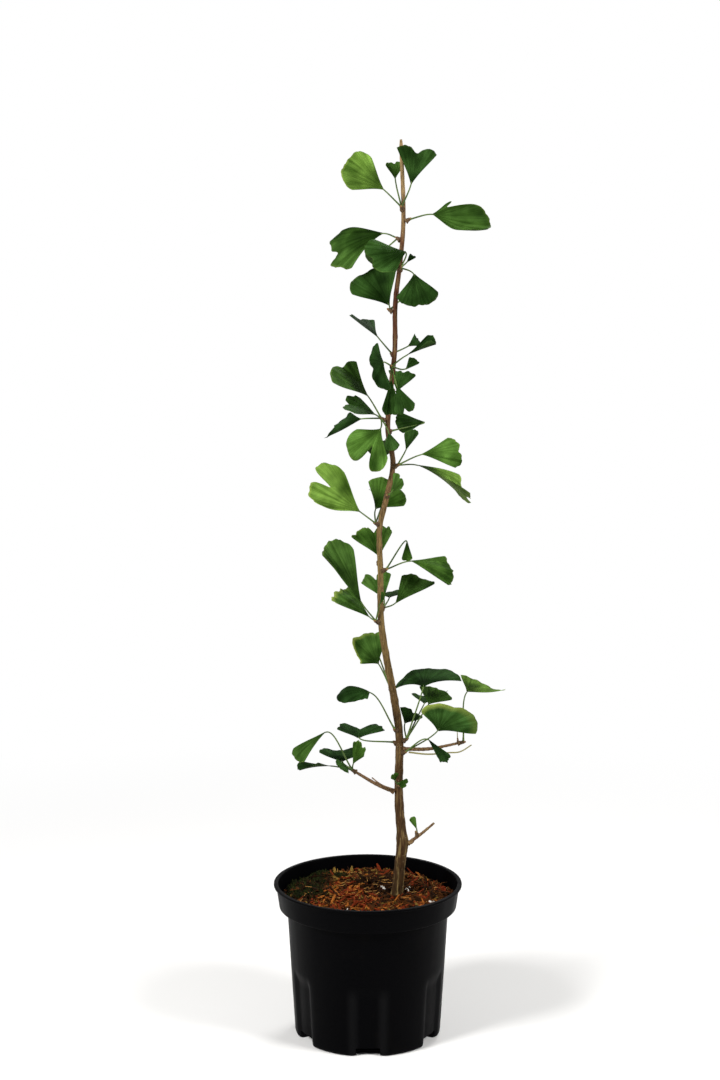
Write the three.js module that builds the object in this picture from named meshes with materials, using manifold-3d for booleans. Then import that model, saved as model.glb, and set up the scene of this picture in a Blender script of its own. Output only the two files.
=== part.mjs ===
// A young ginkgo in a round black nursery pot.
//
// Millimetres and degrees. +Z is up, -Y is the front and +X is to the right of it. The origin is
// the middle of the pot's flat underside. A bearing turns from +X (0) to the back (90), to the
// left (180) and to the front (270), and a rise is the angle above the level.
import * as THREE from "three";
import { mergeVertices } from "three/addons/utils/BufferGeometryUtils.js";
import Module from "manifold-3d";

const wasm = await Module();
wasm.setup();

// ---------------------------------------------------------------- driving dimensions

const clearance = 0.3; // left between neighbouring solids
const weld = 0.001; // vertices nearer than this are one

// Pot: a 3 litre nursery pot, 190 mm across and 155 mm tall.
const potHeight = 155;
const lipRadius = 95;
const lipHeight = 2.5;
const lipRounding = 0.5;
const bandHeight = 24; // the plain upright band under the lip
const bandTaper = 3;
const bandFootRadius = 89.5;
const bodyTopRadius = 81.5;
const bodyFootRadius = 74;
const footRounding = 4;
const potWall = 1.8;
const potFloor = 3;
const potSegments = 48;
const fluteCount = 6; // shallow upright recesses in the lower wall
const fluteHalfAngle = 8;
const fluteSlopeAngle = 5;
const fluteDepth = 3;
const fluteTop = 74;
const fluteFade = 16;
const drainWidth = 24;
const drainHeight = 8;
const drainInnerRadius = 62;

// Potting mix: a bed of bark and coir that fills the pot to just below the band's top.
const groundLevel = 141; // where the trunk comes out
const bedEdgeHeight = 139;
const bedDome = 5;
const bedLump = 1.2;
const bedLumpSpacing = 17;
const bedRings = 5;
const bedSegments = 24;
const bedSlack = 0.5; // between the mix and the pot's wall
const ledgeGap = 1; // between the mix and the ledge where the pot widens
const drainGap = 2; // between the mix and the drain holes
const collarRadius = 12; // the shallow dip round the foot of the trunk
const collarHeight = 20;
const collarSegments = 16;

// Trunk: height, then how far right and how far back its middle is.
const trunkBends = [
  [132, 29, -6],
  [150, 30, -6],
  [170, 32, -5],
  [196, 34.5, -4],
  [228, 32, -2],
  [255, 31, 0],
  [306, 31.5, 3],
  [345, 26, 4],
  [385, 18.5, 3],
  [423, 13, 0],
  [470, 12.5, -3],
  [515, 11.5, -4],
  [545, 18, -2],
  [578, 24.6, 2],
  [612, 19.5, 3],
  [645, 21.5, 0],
  [690, 26, -3],
  [735, 26.5, -2],
  [777, 31.4, 1],
  [815, 34.2, 3],
  [892, 31.6, 2],
];
// Height and radius, from the root flare to the tip.
const trunkGirth = [
  [132, 8.2],
  [141, 6.9],
  [150, 6.2],
  [175, 5.8],
  [200, 5.4],
  [250, 4.6],
  [330, 4.1],
  [400, 3.5],
  [500, 2.9],
  [620, 2.7],
  [815, 2.3],
  [886, 1.9],
  [892, 1.2],
];
const trunkSides = 8;
const trunkSteps = 48;
const underground = 60; // a cube this wide takes off what lies under the ground

// Boughs: thin side shoots, each from its height on the trunk.
const boughs = {
  bough_low_left: {
    height: 249, bearing: 181, rise: 28, length: 43, sag: 1.5, root: 2.1, tip: 1.4,
  },
  bough_low_right: {
    height: 291.5, bearing: 358, rise: 7, length: 55, sag: 2.5, root: 2.1, tip: 1.3,
  },
  bough_base_right: {
    height: 197, bearing: 352, rise: 40, length: 33, sag: 0.8, root: 1.9, tip: 1.1,
  },
};
const boughSides = 6;
const boughSteps = 6;
const sagPlace = 0.45; // how far along a bough it sags most

// Leaves: thin fans on slender stalks.
const leafThickness = 0.7;
const bigLeaf = 42; // a blade from this length up has the finer of two grids
const finerGrid = [6, 3];
const coarserGrid = [4, 2];
const bladeFoot = 1.2; // where the fan begins, out from the end of its stalk
const bladeFlare = 0.3; // how much narrower the fan is at its foot
const stalkRadius = 0.8;
const stalkTaper = 0.4;
const stalkSides = 3;
const stalkSink = 4; // how far the stalk runs on into the fan
const stalkSteps = 3;
const stalkRoot = 1; // how deep the stalks start inside the spur
const spurRadius = 2.1;
const spurTaper = 0.25;
const spurSides = 6;

// What a leaf is unless its own line says otherwise: spread is half the fan's angle, cleft the
// depth of its notch and notch that notch's width, as parts of the fan, and split is how far to
// the right it lies. A positive curl lifts the sides towards the upper face and a positive arch
// lifts the end. lean makes the right side longer.
const plainLeaf = {
  face: [270, 50], spread: 48, cleft: 0.12, notch: 0.14, curl: 25, arch: -18,
  ruffle: 0.03, ragged: 0.02, corner: 0.12, lean: 0, split: 0, bow: 0,
};

// Each spray of leaves sits on a spur, a short stub on the trunk or on the end of a bough.
// A leaf's stalk and blade each have a bearing, a rise and a length, and face says which way the
// upper face looks.
const sprays = {
  leaves_top: {
    height: 826, bearing: 250, rise: 30, length: 4,
    leaves: [
      {
        stalk: [203, 41, 24], blade: [202, 36, 46], spread: 36, cleft: 0, curl: 15, face: [270, 25],
        corner: 0.28,
      },
      { stalk: [131, 71, 28], blade: [93, 68, 21], spread: 30, face: [270, 10] },
      {
        stalk: [326, 62, 23], blade: [324, 78, 39], face: [270, 10], spread: 31, cleft: 0.2,
        notch: 0.35, corner: 0, curl: 5, arch: -8,
      },
    ],
  },
  leaves_top_right: {
    height: 815, bearing: 350, rise: 30, length: 3,
    leaves: [
      {
        stalk: [350, 13, 23], blade: [10, -14, 57], face: [270, 30], spread: 44, cleft: 0.6,
        notch: 0.2, lean: 0.35, arch: 35, split: -0.66, corner: 0.55, curl: 80,
      },
    ],
  },
  leaves_crown_left: {
    height: 797, bearing: 150, rise: 30, length: 3,
    leaves: [
      {
        stalk: [145, 19, 17], blade: [169, -12, 62], face: [270, 42], spread: 38, arch: -30,
        curl: -40, ragged: 0.05, lean: 0.1,
      },
      { stalk: [113, -19, 31], blade: [96, -19, 34], face: [90, 60], spread: 38 },
    ],
  },
  leaves_crown_front: {
    height: 768, bearing: 280, rise: 30, length: 4,
    leaves: [
      { stalk: [306, 56, 18], blade: [209, -5, 42], face: [270, 40], spread: 46, corner: 0.2 },
      { stalk: [61, 23, 12], blade: [27, 42, 12], spread: 22, cleft: 0 },
      { stalk: [327, -19, 16], blade: [287, -60, 35], spread: 42, curl: -20, cleft: 0.05 },
    ],
  },
  leaves_high_left: {
    height: 728, bearing: 170, rise: 30, length: 3,
    leaves: [
      {
        stalk: [84, 41, 6], blade: [152, 52, 45], face: [270, 30], spread: 44, cleft: 0,
        corner: 0.15, ragged: 0,
      },
      { stalk: [53, 27, 38], blade: [80, -3, 33], face: [90, 50], spread: 38 },
    ],
  },
  leaves_high_back: {
    height: 686, bearing: 120, rise: 20, length: 3,
    leaves: [
      {
        stalk: [171, 49, 20], blade: [138, 44, 36], face: [335, 40], spread: 38, cleft: 0.05,
        corner: 0,
      },
      { stalk: [29, 20, 18], blade: [20, 30, 22], face: [330, 30], spread: 22, arch: -60 },
    ],
  },
  leaves_high_front: {
    height: 674, bearing: 250, rise: 20, length: 3,
    leaves: [
      {
        stalk: [186, 31, 9], blade: [252, -13, 32], face: [330, 10], spread: 68, cleft: 0.2,
        ragged: 0.04, corner: 0.25, lean: -0.1,
      },
      {
        stalk: [356, 37, 17], blade: [344, 24, 33], face: [250, 60], spread: 20, curl: 125,
        cleft: 0, arch: -5,
      },
      { stalk: [348, -15, 14], blade: [20, 43, 16], spread: 30, cleft: 0 },
      { stalk: [267, -59, 13], blade: [269, -74, 36], face: [270, 10], spread: 17, cleft: 0 },
      { stalk: [289, -51, 22], blade: [314, -63, 30], face: [270, 10], spread: 25, cleft: 0.15 },
    ],
  },
  leaves_mid_back: {
    height: 650, bearing: 60, rise: 20, length: 3,
    leaves: [
      { stalk: [56, -16, 7], blade: [66, 53, 29], spread: 34, cleft: 0.1 },
    ],
  },
  leaves_mid_right: {
    height: 610, bearing: 60, rise: 20, length: 3,
    leaves: [
      { stalk: [27, 11, 40], blade: [203, 3, 31], face: [270, 40], spread: 30, cleft: 0 },
      { stalk: [102, -25, 25], blade: [102, -21, 35], face: [90, 60], spread: 38 },
    ],
  },
  leaves_mid_left: {
    height: 622, bearing: 190, rise: 30, length: 4,
    leaves: [
      {
        stalk: [209, 56, 26], blade: [209, 46, 47], face: [325, 30], spread: 38, cleft: 0.12,
        lean: -0.2, corner: 0.05, split: 0.35, notch: 0.25, ragged: 0,
      },
      {
        stalk: [207, 30, 7], blade: [214, 26, 38], face: [320, 45], spread: 36, ragged: 0.07,
        lean: -0.3,
      },
      {
        stalk: [145, -3, 23], blade: [149, -9, 39], face: [270, 55], spread: 40, lean: -0.15,
        ragged: 0.04,
      },
      {
        stalk: [270, -45, 13], blade: [197, -50, 42], face: [270, 10], spread: 50, cleft: 0.55,
        notch: 0.13, lean: -0.12, corner: 0.35, curl: 10, split: -0.22,
      },
      { stalk: [298, -39, 19], blade: [291, -58, 20], face: [270, 10], spread: 26, cleft: 0 },
    ],
  },
  leaves_half_right: {
    height: 577, bearing: 320, rise: 20, length: 3,
    leaves: [
      { stalk: [331, 58, 17], blade: [298, 51, 25], face: [300, 20], spread: 22, cleft: 0 },
      {
        stalk: [345, 25, 26], blade: [342, 10, 40], face: [270, 25], spread: 29, cleft: 0.05,
        lean: 0.1,
      },
      {
        stalk: [32, -1, 22], blade: [13, -21, 65], face: [270, 80], spread: 30, arch: -35,
        ragged: 0.07, cleft: 0.05,
      },
    ],
  },
  leaves_half_front: {
    height: 548, bearing: 270, rise: 20, length: 2,
    leaves: [
      { stalk: [302, 24, 10], blade: [303, 54, 20], spread: 40 },
    ],
  },
  leaves_half_left: {
    height: 520, bearing: 200, rise: 20, length: 2.5,
    leaves: [
      {
        stalk: [93, 48, 17], blade: [27, 50, 35], face: [270, 15], spread: 48, cleft: 0.05,
        corner: 0.15,
      },
      {
        stalk: [210, 35, 21], blade: [198, 36, 60], face: [285, 25], spread: 34, cleft: 0.38,
        notch: 0.11, lean: 0.12, corner: 0.4, split: 0.14, ragged: 0.05,
      },
      { stalk: [76, 30, 40], blade: [86, 11, 33], face: [90, 60], spread: 35 },
    ],
  },
  leaves_knee_back: {
    height: 480, bearing: 110, rise: 20, length: 3,
    leaves: [
      {
        stalk: [73, 37, 7], blade: [127, 66, 34], face: [270, 20], spread: 43, ragged: 0.08,
        cleft: 0.2, lean: -0.1,
      },
    ],
  },
  leaves_knee_right: {
    height: 474, bearing: 330, rise: 20, length: 3,
    leaves: [
      { stalk: [26, 15, 28], blade: [18, -11, 52], face: [255, 40], spread: 23, cleft: 0.05 },
      { stalk: [349, 55, 37], blade: [270, -80, 21], face: [270, 10], spread: 17, cleft: 0 },
    ],
  },
  leaves_low_back: {
    height: 434, bearing: 60, rise: 20, length: 3,
    leaves: [
      { stalk: [78, 52, 9], blade: [128, 58, 33], spread: 34, ragged: 0.05, cleft: 0.25 },
      {
        stalk: [33, 11, 14], blade: [32, 43, 41], face: [270, 30], spread: 26, cleft: 0.05,
        lean: 0.2,
      },
      { stalk: [78, 10, 31], blade: [87, 12, 35], face: [90, 60], spread: 35 },
    ],
  },
  leaves_low_left: {
    height: 422, bearing: 215, rise: 20, length: 3,
    leaves: [
      { stalk: [311, 72, 19], blade: [290, 47, 13], spread: 50 },
      {
        stalk: [205, 51, 25], blade: [206, 64, 69], face: [325, 20], spread: 27, cleft: 0,
        corner: 0.25, curl: 60,
      },
      {
        stalk: [123, 10, 10], blade: [158, 42, 46], face: [300, 40], spread: 24, ragged: 0.05,
        cleft: 0.08, corner: 0.2,
      },
    ],
  },
  leaves_lower_back: {
    height: 352, bearing: 110, rise: 20, length: 3,
    leaves: [
      {
        stalk: [171, 64, 26], blade: [155, 48, 38], face: [270, 20], spread: 54, ragged: 0.07,
        cleft: 0.5, corner: 0.3, lean: -0.2, split: -0.8, notch: 0.5,
      },
      { stalk: [119, 50, 42], blade: [99, 3, 30], face: [90, 60], spread: 36 },
    ],
  },
  leaves_lower_front: {
    height: 312, bearing: 230, rise: 20, length: 2,
    leaves: [
      {
        stalk: [220, 53, 53], blade: [215, 10, 35], face: [262, 50], spread: 52, curl: -60,
        ragged: 0.04, lean: 0.25, cleft: 0.5, split: -0.7, notch: 0.6, arch: -80,
      },
    ],
  },
  leaves_lower_left: {
    height: 297, bearing: 140, rise: 20, length: 2,
    leaves: [
      {
        stalk: [163, 2, 38], blade: [88, 24, 30], face: [270, 46], spread: 68, curl: 5, cleft: 0.3,
        notch: 0.2, ragged: 0.08, lean: 0.08,
      },
    ],
  },
  leaves_bough_left: {
    bough: "bough_low_left", length: 4,
    leaves: [
      {
        stalk: [199, 57, 50], blade: [204, -36, 42], face: [205, 40], spread: 26, cleft: 0.05,
        curl: 10,
      },
      { stalk: [212, 17, 25], blade: [207, 7, 35], face: [90, 78], spread: 40, cleft: 0.05 },
      { stalk: [134, 19, 16], blade: [92, 20, 33], face: [270, 45], spread: 55, ragged: 0.05 },
      { stalk: [274, 46, 10], blade: [304, 57, 27], spread: 26, ragged: 0.06 },
      { stalk: [252, 27, 13], blade: [234, 19, 16] },
    ],
  },
  leaves_lower_right: {
    height: 301, bearing: 340, rise: 30, length: 3,
    leaves: [
      {
        stalk: [319, 69, 60], blade: [82, 24, 46], face: [245, 60], spread: 56, curl: -25,
        cleft: 0.08, corner: 0.05,
      },
      { stalk: [20, 55, 41], blade: [57, 33, 28], face: [270, 55], spread: 48 },
      { stalk: [99, 47, 18], blade: [53, 33, 21], face: [270, 40], spread: 45 },
      { stalk: [67, 28, 56], blade: [74, 12, 36], face: [90, 60], spread: 40 },
    ],
  },
  leaves_right_front: {
    height: 289, bearing: 320, rise: 20, length: 3,
    leaves: [
      {
        stalk: [334, 35, 43], blade: [44, 42, 36], face: [270, 50], spread: 72, lean: 0.22,
        curl: 15, cleft: 0.08,
      },
      {
        stalk: [321, 33, 33], blade: [323, -32, 31], face: [330, 40], spread: 26, ragged: 0.05,
        cleft: 0,
      },
    ],
  },
  leaves_bough_right: {
    bough: "bough_low_right", length: 5,
    leaves: [
      {
        stalk: [77, 70, 51], blade: [45, 14, 34], face: [270, 62], spread: 56, cleft: 0.15,
        notch: 0.5, corner: 0.05, curl: 30, lean: 0.2,
      },
    ],
  },
  leaves_foot_front: {
    height: 256, bearing: 270, rise: 10, length: 2,
    leaves: [
      { stalk: [237, 44, 5], blade: [325, 9, 12], spread: 40 },
      { stalk: [216, 48, 7], blade: [257, 59, 10], spread: 35 },
    ],
  },
  leaves_base_right: {
    bough: "bough_base_right", along: 0.4, bearing: 150, rise: 60, length: 2,
    leaves: [
      { stalk: [60, 60, 3], blade: [200, 70, 15], spread: 16, cleft: 0 },
    ],
  },
};

// ---------------------------------------------------------------- directions and numbers

const up = new THREE.Vector3(0, 0, 1);
const radians = THREE.MathUtils.degToRad;

// The unit vector that a bearing and a rise give.
function direction([bearing, rise]) {
  const level = Math.cos(radians(rise));
  return new THREE.Vector3(
    level * Math.cos(radians(bearing)),
    level * Math.sin(radians(bearing)),
    Math.sin(radians(rise)),
  );
}

// The value at a height, straight between the entries of a list of heights and values.
function valueAt(table, height) {
  const above = table.findIndex(([level]) => level >= height);
  if (above === 0) return table[0][1];
  if (above < 0) return table[table.length - 1][1];
  const [lowLevel, lowValue] = table[above - 1];
  const [highLevel, highValue] = table[above];
  return THREE.MathUtils.mapLinear(height, lowLevel, highLevel, lowValue, highValue);
}

// A stream of numbers from 0 to 1 that is the same for the same seed.
function seededRandom(seed) {
  let state = seed;
  return () => {
    state = (state + 0x6d2b79f5) >>> 0;
    let mixed = Math.imul(state ^ (state >>> 15), state | 1);
    mixed ^= mixed + Math.imul(mixed ^ (mixed >>> 7), mixed | 61);
    return ((mixed ^ (mixed >>> 14)) >>> 0) / 4294967296;
  };
}

// ---------------------------------------------------------------- solids

// A closed geometry as a solid that can be joined and cut.
function solidOf(geometry) {
  const bare = geometry.clone();
  bare.deleteAttribute("normal");
  bare.deleteAttribute("uv");
  const merged = mergeVertices(bare, weld);
  return new wasm.Manifold(
    new wasm.Mesh({
      numProp: 3,
      vertProperties: merged.getAttribute("position").array,
      triVerts: new Uint32Array(merged.index.array),
    }),
  );
}

// The largest body of a solid, without scraps and with any sealed hollow filled.
function mainBody(solid) {
  return solid.decompose().reduce((best, body) => (body.volume() > best.volume() ? body : best));
}

// A solid back as a geometry.
function geometryOf(solid) {
  const mesh = solid.getMesh();
  return new THREE.BufferGeometry()
    .setAttribute("position", new THREE.BufferAttribute(mesh.vertProperties, 3))
    .setIndex(new THREE.BufferAttribute(mesh.triVerts, 1));
}

// Moves every vertex of a geometry to where a function of its old place says.
function reshape(geometry, move) {
  const places = geometry.getAttribute("position");
  const spot = new THREE.Vector3();
  for (let i = 0; i < places.count; i += 1) {
    move(spot.fromBufferAttribute(places, i));
    places.setXYZ(i, spot.x, spot.y, spot.z);
  }
  return geometry;
}

// A round tapering limb: a closed cylinder bent along a curve.
function limb(curve, radiusAt, sides, steps) {
  const { normals, binormals } = curve.computeFrenetFrames(steps, false);
  return reshape(new THREE.CylinderGeometry(1, 1, 1, sides, steps), (spot) => {
    const step = Math.round((spot.y + 0.5) * steps);
    const middle = curve.getPointAt(step / steps);
    const radius = radiusAt(step / steps, middle);
    const { x: across, z: deep } = spot;
    spot.copy(middle);
    spot.addScaledVector(binormals[step], across * radius);
    spot.addScaledVector(normals[step], deep * radius);
  });
}

// A profile of [radius, height] points turned round the pot's upright axis.
function turned(profile, segments) {
  const points = profile.map(([radius, height]) => new THREE.Vector2(radius, height));
  return new THREE.LatheGeometry(points, segments).rotateX(Math.PI / 2);
}

// ---------------------------------------------------------------- pot and potting mix

// How far a flute draws the wall in at an angle round the pot and a height.
function fluteDip(angle, height) {
  const pitch = (2 * Math.PI) / fluteCount;
  const fromFront = angle + Math.PI / 2;
  const offset = Math.abs(fromFront - pitch * Math.round(fromFront / pitch));
  const edge = radians(fluteHalfAngle + fluteSlopeAngle);
  const across = THREE.MathUtils.smoothstep(edge - offset, 0, radians(fluteSlopeAngle));
  const down = THREE.MathUtils.smoothstep(fluteTop - height, 0, fluteFade);
  return fluteDepth * across * down;
}

// Draws the flutes into a turned wall, outside a radius that leaves the floor flat.
function fluted(geometry, fromRadius) {
  return reshape(geometry, (spot) => {
    const radius = Math.hypot(spot.x, spot.y);
    if (radius < fromRadius) return;
    const shrink = (radius - fluteDip(Math.atan2(spot.y, spot.x), spot.z)) / radius;
    spot.x *= shrink;
    spot.y *= shrink;
  });
}

// One hole at the foot of a flute, where water drains.
function drainHole(index) {
  const reach = bodyFootRadius + footRounding - drainInnerRadius;
  const box = new THREE.BoxGeometry(reach, drainWidth, 2 * drainHeight);
  box.translate(drainInnerRadius + reach / 2, 0, 0);
  return box.rotateZ(-Math.PI / 2 + (index * 2 * Math.PI) / fluteCount);
}

function makePot() {
  const bandFoot = potHeight - bandHeight;
  const bandTopRadius = bandFootRadius + bandTaper;
  const innerLip = bandTopRadius - potWall;
  const flutedLevels = [potFloor + footRounding, fluteTop - fluteFade, fluteTop];
  const slope = (bodyTopRadius - bodyFootRadius) / (bandFoot - footRounding);
  const bodyRadius = (height) => bodyFootRadius + slope * (height - footRounding);
  const profile = [
    [0, 0],
    [bodyFootRadius - footRounding, 0],
    [bodyFootRadius - footRounding / 4, footRounding / 3],
    ...flutedLevels.map((height) => [bodyRadius(height), height]),
    [bodyTopRadius, bandFoot - 1],
    [bandFootRadius, bandFoot],
    [bandTopRadius, potHeight - lipHeight],
    [lipRadius, potHeight - lipHeight + lipRounding],
    [lipRadius, potHeight],
    [innerLip, potHeight],
    [bandFootRadius - potWall, bandFoot + potWall],
    [bodyTopRadius - potWall, bandFoot - 1 + potWall],
    ...flutedLevels.map((height) => [bodyRadius(height) - potWall, height]).reverse(),
    [bodyFootRadius - footRounding - potWall, potFloor],
    [0, potFloor],
  ];
  const shell = solidOf(fluted(turned(profile, potSegments), bodyFootRadius - 2 * footRounding));
  const holes = Array.from({ length: fluteCount }, (_, index) => solidOf(drainHole(index)));
  return holes.reduce((pot, hole) => pot.subtract(hole), shell);
}

// The top of the bed of potting mix: a low dome with lumps.
function bedHeight(x, y) {
  const edge = bandFootRadius;
  const dome = bedDome * (1 - (x * x + y * y) / (edge * edge));
  const lumps = Math.sin(x / bedLumpSpacing + 1) * Math.sin(y / bedLumpSpacing - 0.6)
    + Math.sin((x + y) / (0.6 * bedLumpSpacing));
  return bedEdgeHeight + dome + bedLump * lumps;
}

function makeBed(trunkFoot) {
  const bandFoot = potHeight - bandHeight;
  const gap = potWall + bedSlack;
  const ledgeTop = bandFoot + potWall + ledgeGap;
  const neckRadius = bodyTopRadius - gap - ledgeGap;
  const topRadius = bandFootRadius - gap + bandTaper / 4;
  const rings = Array.from({ length: bedRings }, (_, index) => {
    return [topRadius * (1 - index / bedRings), bedEdgeHeight];
  });
  const profile = [
    [0, potFloor + clearance],
    [drainInnerRadius - drainGap, potFloor + clearance],
    [bodyFootRadius - fluteDepth - gap, drainHeight + 3 * drainGap],
    [neckRadius, bandFoot - 2 * ledgeGap],
    [neckRadius, ledgeTop],
    [bandFootRadius - gap, ledgeTop + clearance],
    ...rings,
    [0, bedEdgeHeight],
  ];
  const bed = reshape(turned(profile, bedSegments), (spot) => {
    if (spot.z > ledgeTop + ledgeGap) spot.z = bedHeight(spot.x, spot.y);
  });
  const collar = new THREE.CylinderGeometry(
    collarRadius, collarRadius, collarHeight, collarSegments,
  );
  collar.rotateX(Math.PI / 2);
  collar.translate(trunkFoot.x, trunkFoot.y, groundLevel - clearance + collarHeight / 2);
  return solidOf(bed).subtract(solidOf(collar));
}

// ---------------------------------------------------------------- trunk and boughs

const trunkCurve = new THREE.CatmullRomCurve3(
  trunkBends.map(([height, right, back]) => new THREE.Vector3(right, back, height)),
);

// The trunk's middle at a height.
function trunkAt(height) {
  let [low, high] = [0, 1];
  for (let halving = 0; halving < 30; halving += 1) {
    const middle = (low + high) / 2;
    if (trunkCurve.getPoint(middle).z < height) low = middle;
    else high = middle;
  }
  return trunkCurve.getPoint(low);
}

function makeTrunk() {
  const stem = limb(trunkCurve, (_, spot) => valueAt(trunkGirth, spot.z), trunkSides, trunkSteps);
  const below = new THREE.BoxGeometry(underground, underground, underground);
  const foot = trunkAt(groundLevel);
  below.translate(foot.x, foot.y, groundLevel - underground / 2);
  return solidOf(stem).subtract(solidOf(below));
}

// Where the middle of a shoot's root lies, for a shoot of a radius that leaves the trunk at a
// height towards a direction: its end, tilted against the leaning trunk, is just clear of it.
function trunkSide(height, outward, rootRadius) {
  const level = new THREE.Vector3(outward.x, outward.y, 0);
  const flat = level.length();
  level.divideScalar(flat);
  const rise = trunkAt(height + rootRadius).sub(trunkAt(height - rootRadius));
  const lean = rise.dot(level) / (2 * rootRadius);
  const tilt = rootRadius * Math.abs(outward.z + lean * flat);
  return trunkAt(height).addScaledVector(level, valueAt(trunkGirth, height) + clearance + tilt);
}

function boughCurve({ height, bearing, rise, length, sag, root }) {
  const outward = direction([bearing, rise]);
  const start = trunkSide(height, outward, root);
  const end = start.clone().addScaledVector(outward, length);
  const middle = start.clone().lerp(end, sagPlace).addScaledVector(up, -sag);
  return new THREE.CatmullRomCurve3([start, middle, end]);
}

function makeBough(bough) {
  const radiusAt = (along) => THREE.MathUtils.lerp(bough.root, bough.tip, along);
  return solidOf(limb(boughCurve(bough), radiusAt, boughSides, boughSteps));
}

// ---------------------------------------------------------------- leaves

// Bends a strip: a point some distance along it and some height off it, at a rate per mm.
function bent(distance, height, rate) {
  if (Math.abs(rate) < 1e-6) return [distance, height];
  const radius = 1 / rate - height;
  return [radius * Math.sin(distance * rate), 1 / rate - radius * Math.cos(distance * rate)];
}

// How far out the fan's edge is, as a part of its length, from its left side (-1) to its right (1).
function fanEdge(leaf, side) {
  const notch = leaf.cleft * Math.exp(-(((side - leaf.split) / leaf.notch) ** 2));
  const [slow, middling, quick] = leaf.phases;
  const waves = 0.5 * Math.sin(7 * side + slow)
    + 0.3 * Math.sin(13 * side + middling)
    + 0.2 * Math.sin(23 * side + quick);
  return (1 - notch) * (1 - leaf.corner * side ** 4) * (1 + leaf.lean * side + leaf.ragged * waves);
}

// A point of the fan's middle surface: side from -1 to 1, out from 0 at the foot to 1 at the edge.
function fanPoint(leaf, side, out) {
  const length = leaf.blade[2];
  const angle = side * radians(leaf.spread) * (1 - bladeFlare * (1 - out) ** 2);
  const radius = THREE.MathUtils.lerp(bladeFoot, length * fanEdge(leaf, side), out);
  const halfWidth = length * Math.sin(radians(leaf.spread));
  const [across, cup] = bent(radius * Math.sin(angle), 0, radians(leaf.curl) / halfWidth);
  const ruffle = leaf.ruffle * length * out * out * Math.sin(5 * side + leaf.phases[0]);
  const [along, lift] = bent(radius * Math.cos(angle), cup + ruffle, radians(leaf.arch) / length);
  return leaf.foot
    .clone()
    .addScaledVector(leaf.sideways, across)
    .addScaledVector(leaf.forward, along)
    .addScaledVector(leaf.outward, lift);
}

// The fan as a thin closed sheet.
function makeFan(leaf) {
  const [columns, rows] = leaf.blade[2] < bigLeaf ? coarserGrid : finerGrid;
  const sheet = new THREE.BoxGeometry(2, 1, 1, columns, rows, 1);
  const step = 0.01;
  return reshape(sheet, (spot) => {
    const [side, out] = [spot.x, spot.y + 0.5];
    const across = fanPoint(leaf, side + step, out).sub(fanPoint(leaf, side - step, out));
    const along = fanPoint(leaf, side, out + step).sub(fanPoint(leaf, side, out - step));
    const offset = spot.z * leafThickness;
    spot.copy(fanPoint(leaf, side, out)).addScaledVector(across.cross(along).normalize(), offset);
  });
}

function makeStalk(leaf, root) {
  const end = leaf.foot.clone().addScaledVector(leaf.forward, stalkSink);
  const rising = root.clone().lerp(leaf.foot, 0.4).addScaledVector(up, leaf.bow);
  const nearing = leaf.foot.clone().addScaledVector(leaf.forward, -0.2 * leaf.stalk[2]);
  const curve = new THREE.CubicBezierCurve3(root, rising, nearing, end);
  const radiusAt = (along) => stalkRadius * (1 - stalkTaper * along);
  return limb(curve, radiusAt, stalkSides, stalkSteps);
}

// Fills in a leaf's plain values, its place and its own frame.
function placeLeaf(line, root, random) {
  const leaf = { ...plainLeaf, ...line };
  leaf.phases = [random(), random(), random()].map((draw) => 2 * Math.PI * draw);
  leaf.foot = root.clone().addScaledVector(direction(leaf.stalk), leaf.stalk[2]);
  leaf.forward = direction(leaf.blade);
  leaf.sideways = leaf.forward.clone().cross(direction(leaf.face)).normalize();
  leaf.outward = leaf.sideways.clone().cross(leaf.forward);
  return leaf;
}

// The place and direction of a spray's spur, on the trunk or on the end of its bough.
function spurBase(spray) {
  if (spray.bough && !spray.along) {
    const curve = boughCurve(boughs[spray.bough]);
    const outward = curve.getTangent(1);
    return { start: curve.getPoint(1).addScaledVector(outward, clearance), outward };
  }
  const outward = direction([spray.bearing, spray.rise]);
  if (!spray.bough) return { start: trunkSide(spray.height, outward, spurRadius), outward };
  const bough = boughs[spray.bough];
  const start = boughCurve(bough).getPoint(spray.along);
  return { start: start.addScaledVector(outward, bough.root + clearance), outward };
}

// A spray as one solid. A leaf that would touch one of the limbs is left out.
function makeSpray(spray, seed, limbs) {
  const random = seededRandom(seed);
  const { start, outward } = spurBase(spray);
  const tip = start.clone().addScaledVector(outward, spray.length);
  const spur = limb(
    new THREE.LineCurve3(start, tip),
    (along) => spurRadius * (1 - spurTaper * along),
    spurSides,
    1,
  );
  const root = tip.clone().addScaledVector(outward, -stalkRoot);
  const leaves = spray.leaves
    .map((line) => placeLeaf(line, root, random))
    .map((leaf) => solidOf(makeStalk(leaf, root)).add(solidOf(makeFan(leaf))))
    .filter((leaf) => limbs.every((other) => leaf.minGap(other, clearance) >= clearance));
  return mainBody(leaves.reduce((whole, leaf) => whole.add(leaf), solidOf(spur)));
}

// ---------------------------------------------------------------- the part

const potPlastic = new THREE.MeshStandardMaterial({
  color: "#17181a", roughness: 0.55, metalness: 0,
});
const pottingMix = new THREE.MeshStandardMaterial({
  color: "#6b3d24", roughness: 0.95, metalness: 0,
});
const bark = new THREE.MeshStandardMaterial({ color: "#7a5a45", roughness: 0.85, metalness: 0 });
const leafGreen = new THREE.MeshStandardMaterial({
  color: "#3f6b2c", roughness: 0.6, metalness: 0,
});

const ginkgo = new THREE.Group();

function addPart(name, solid, material) {
  const mesh = new THREE.Mesh(geometryOf(solid), material);
  mesh.name = name;
  ginkgo.add(mesh);
}

addPart("pot", makePot(), potPlastic);
addPart("potting_mix", makeBed(trunkAt(groundLevel)), pottingMix);

const limbs = { trunk: makeTrunk() };
for (const [name, bough] of Object.entries(boughs)) limbs[name] = makeBough(bough);
for (const [name, solid] of Object.entries(limbs)) addPart(name, solid, bark);

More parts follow.
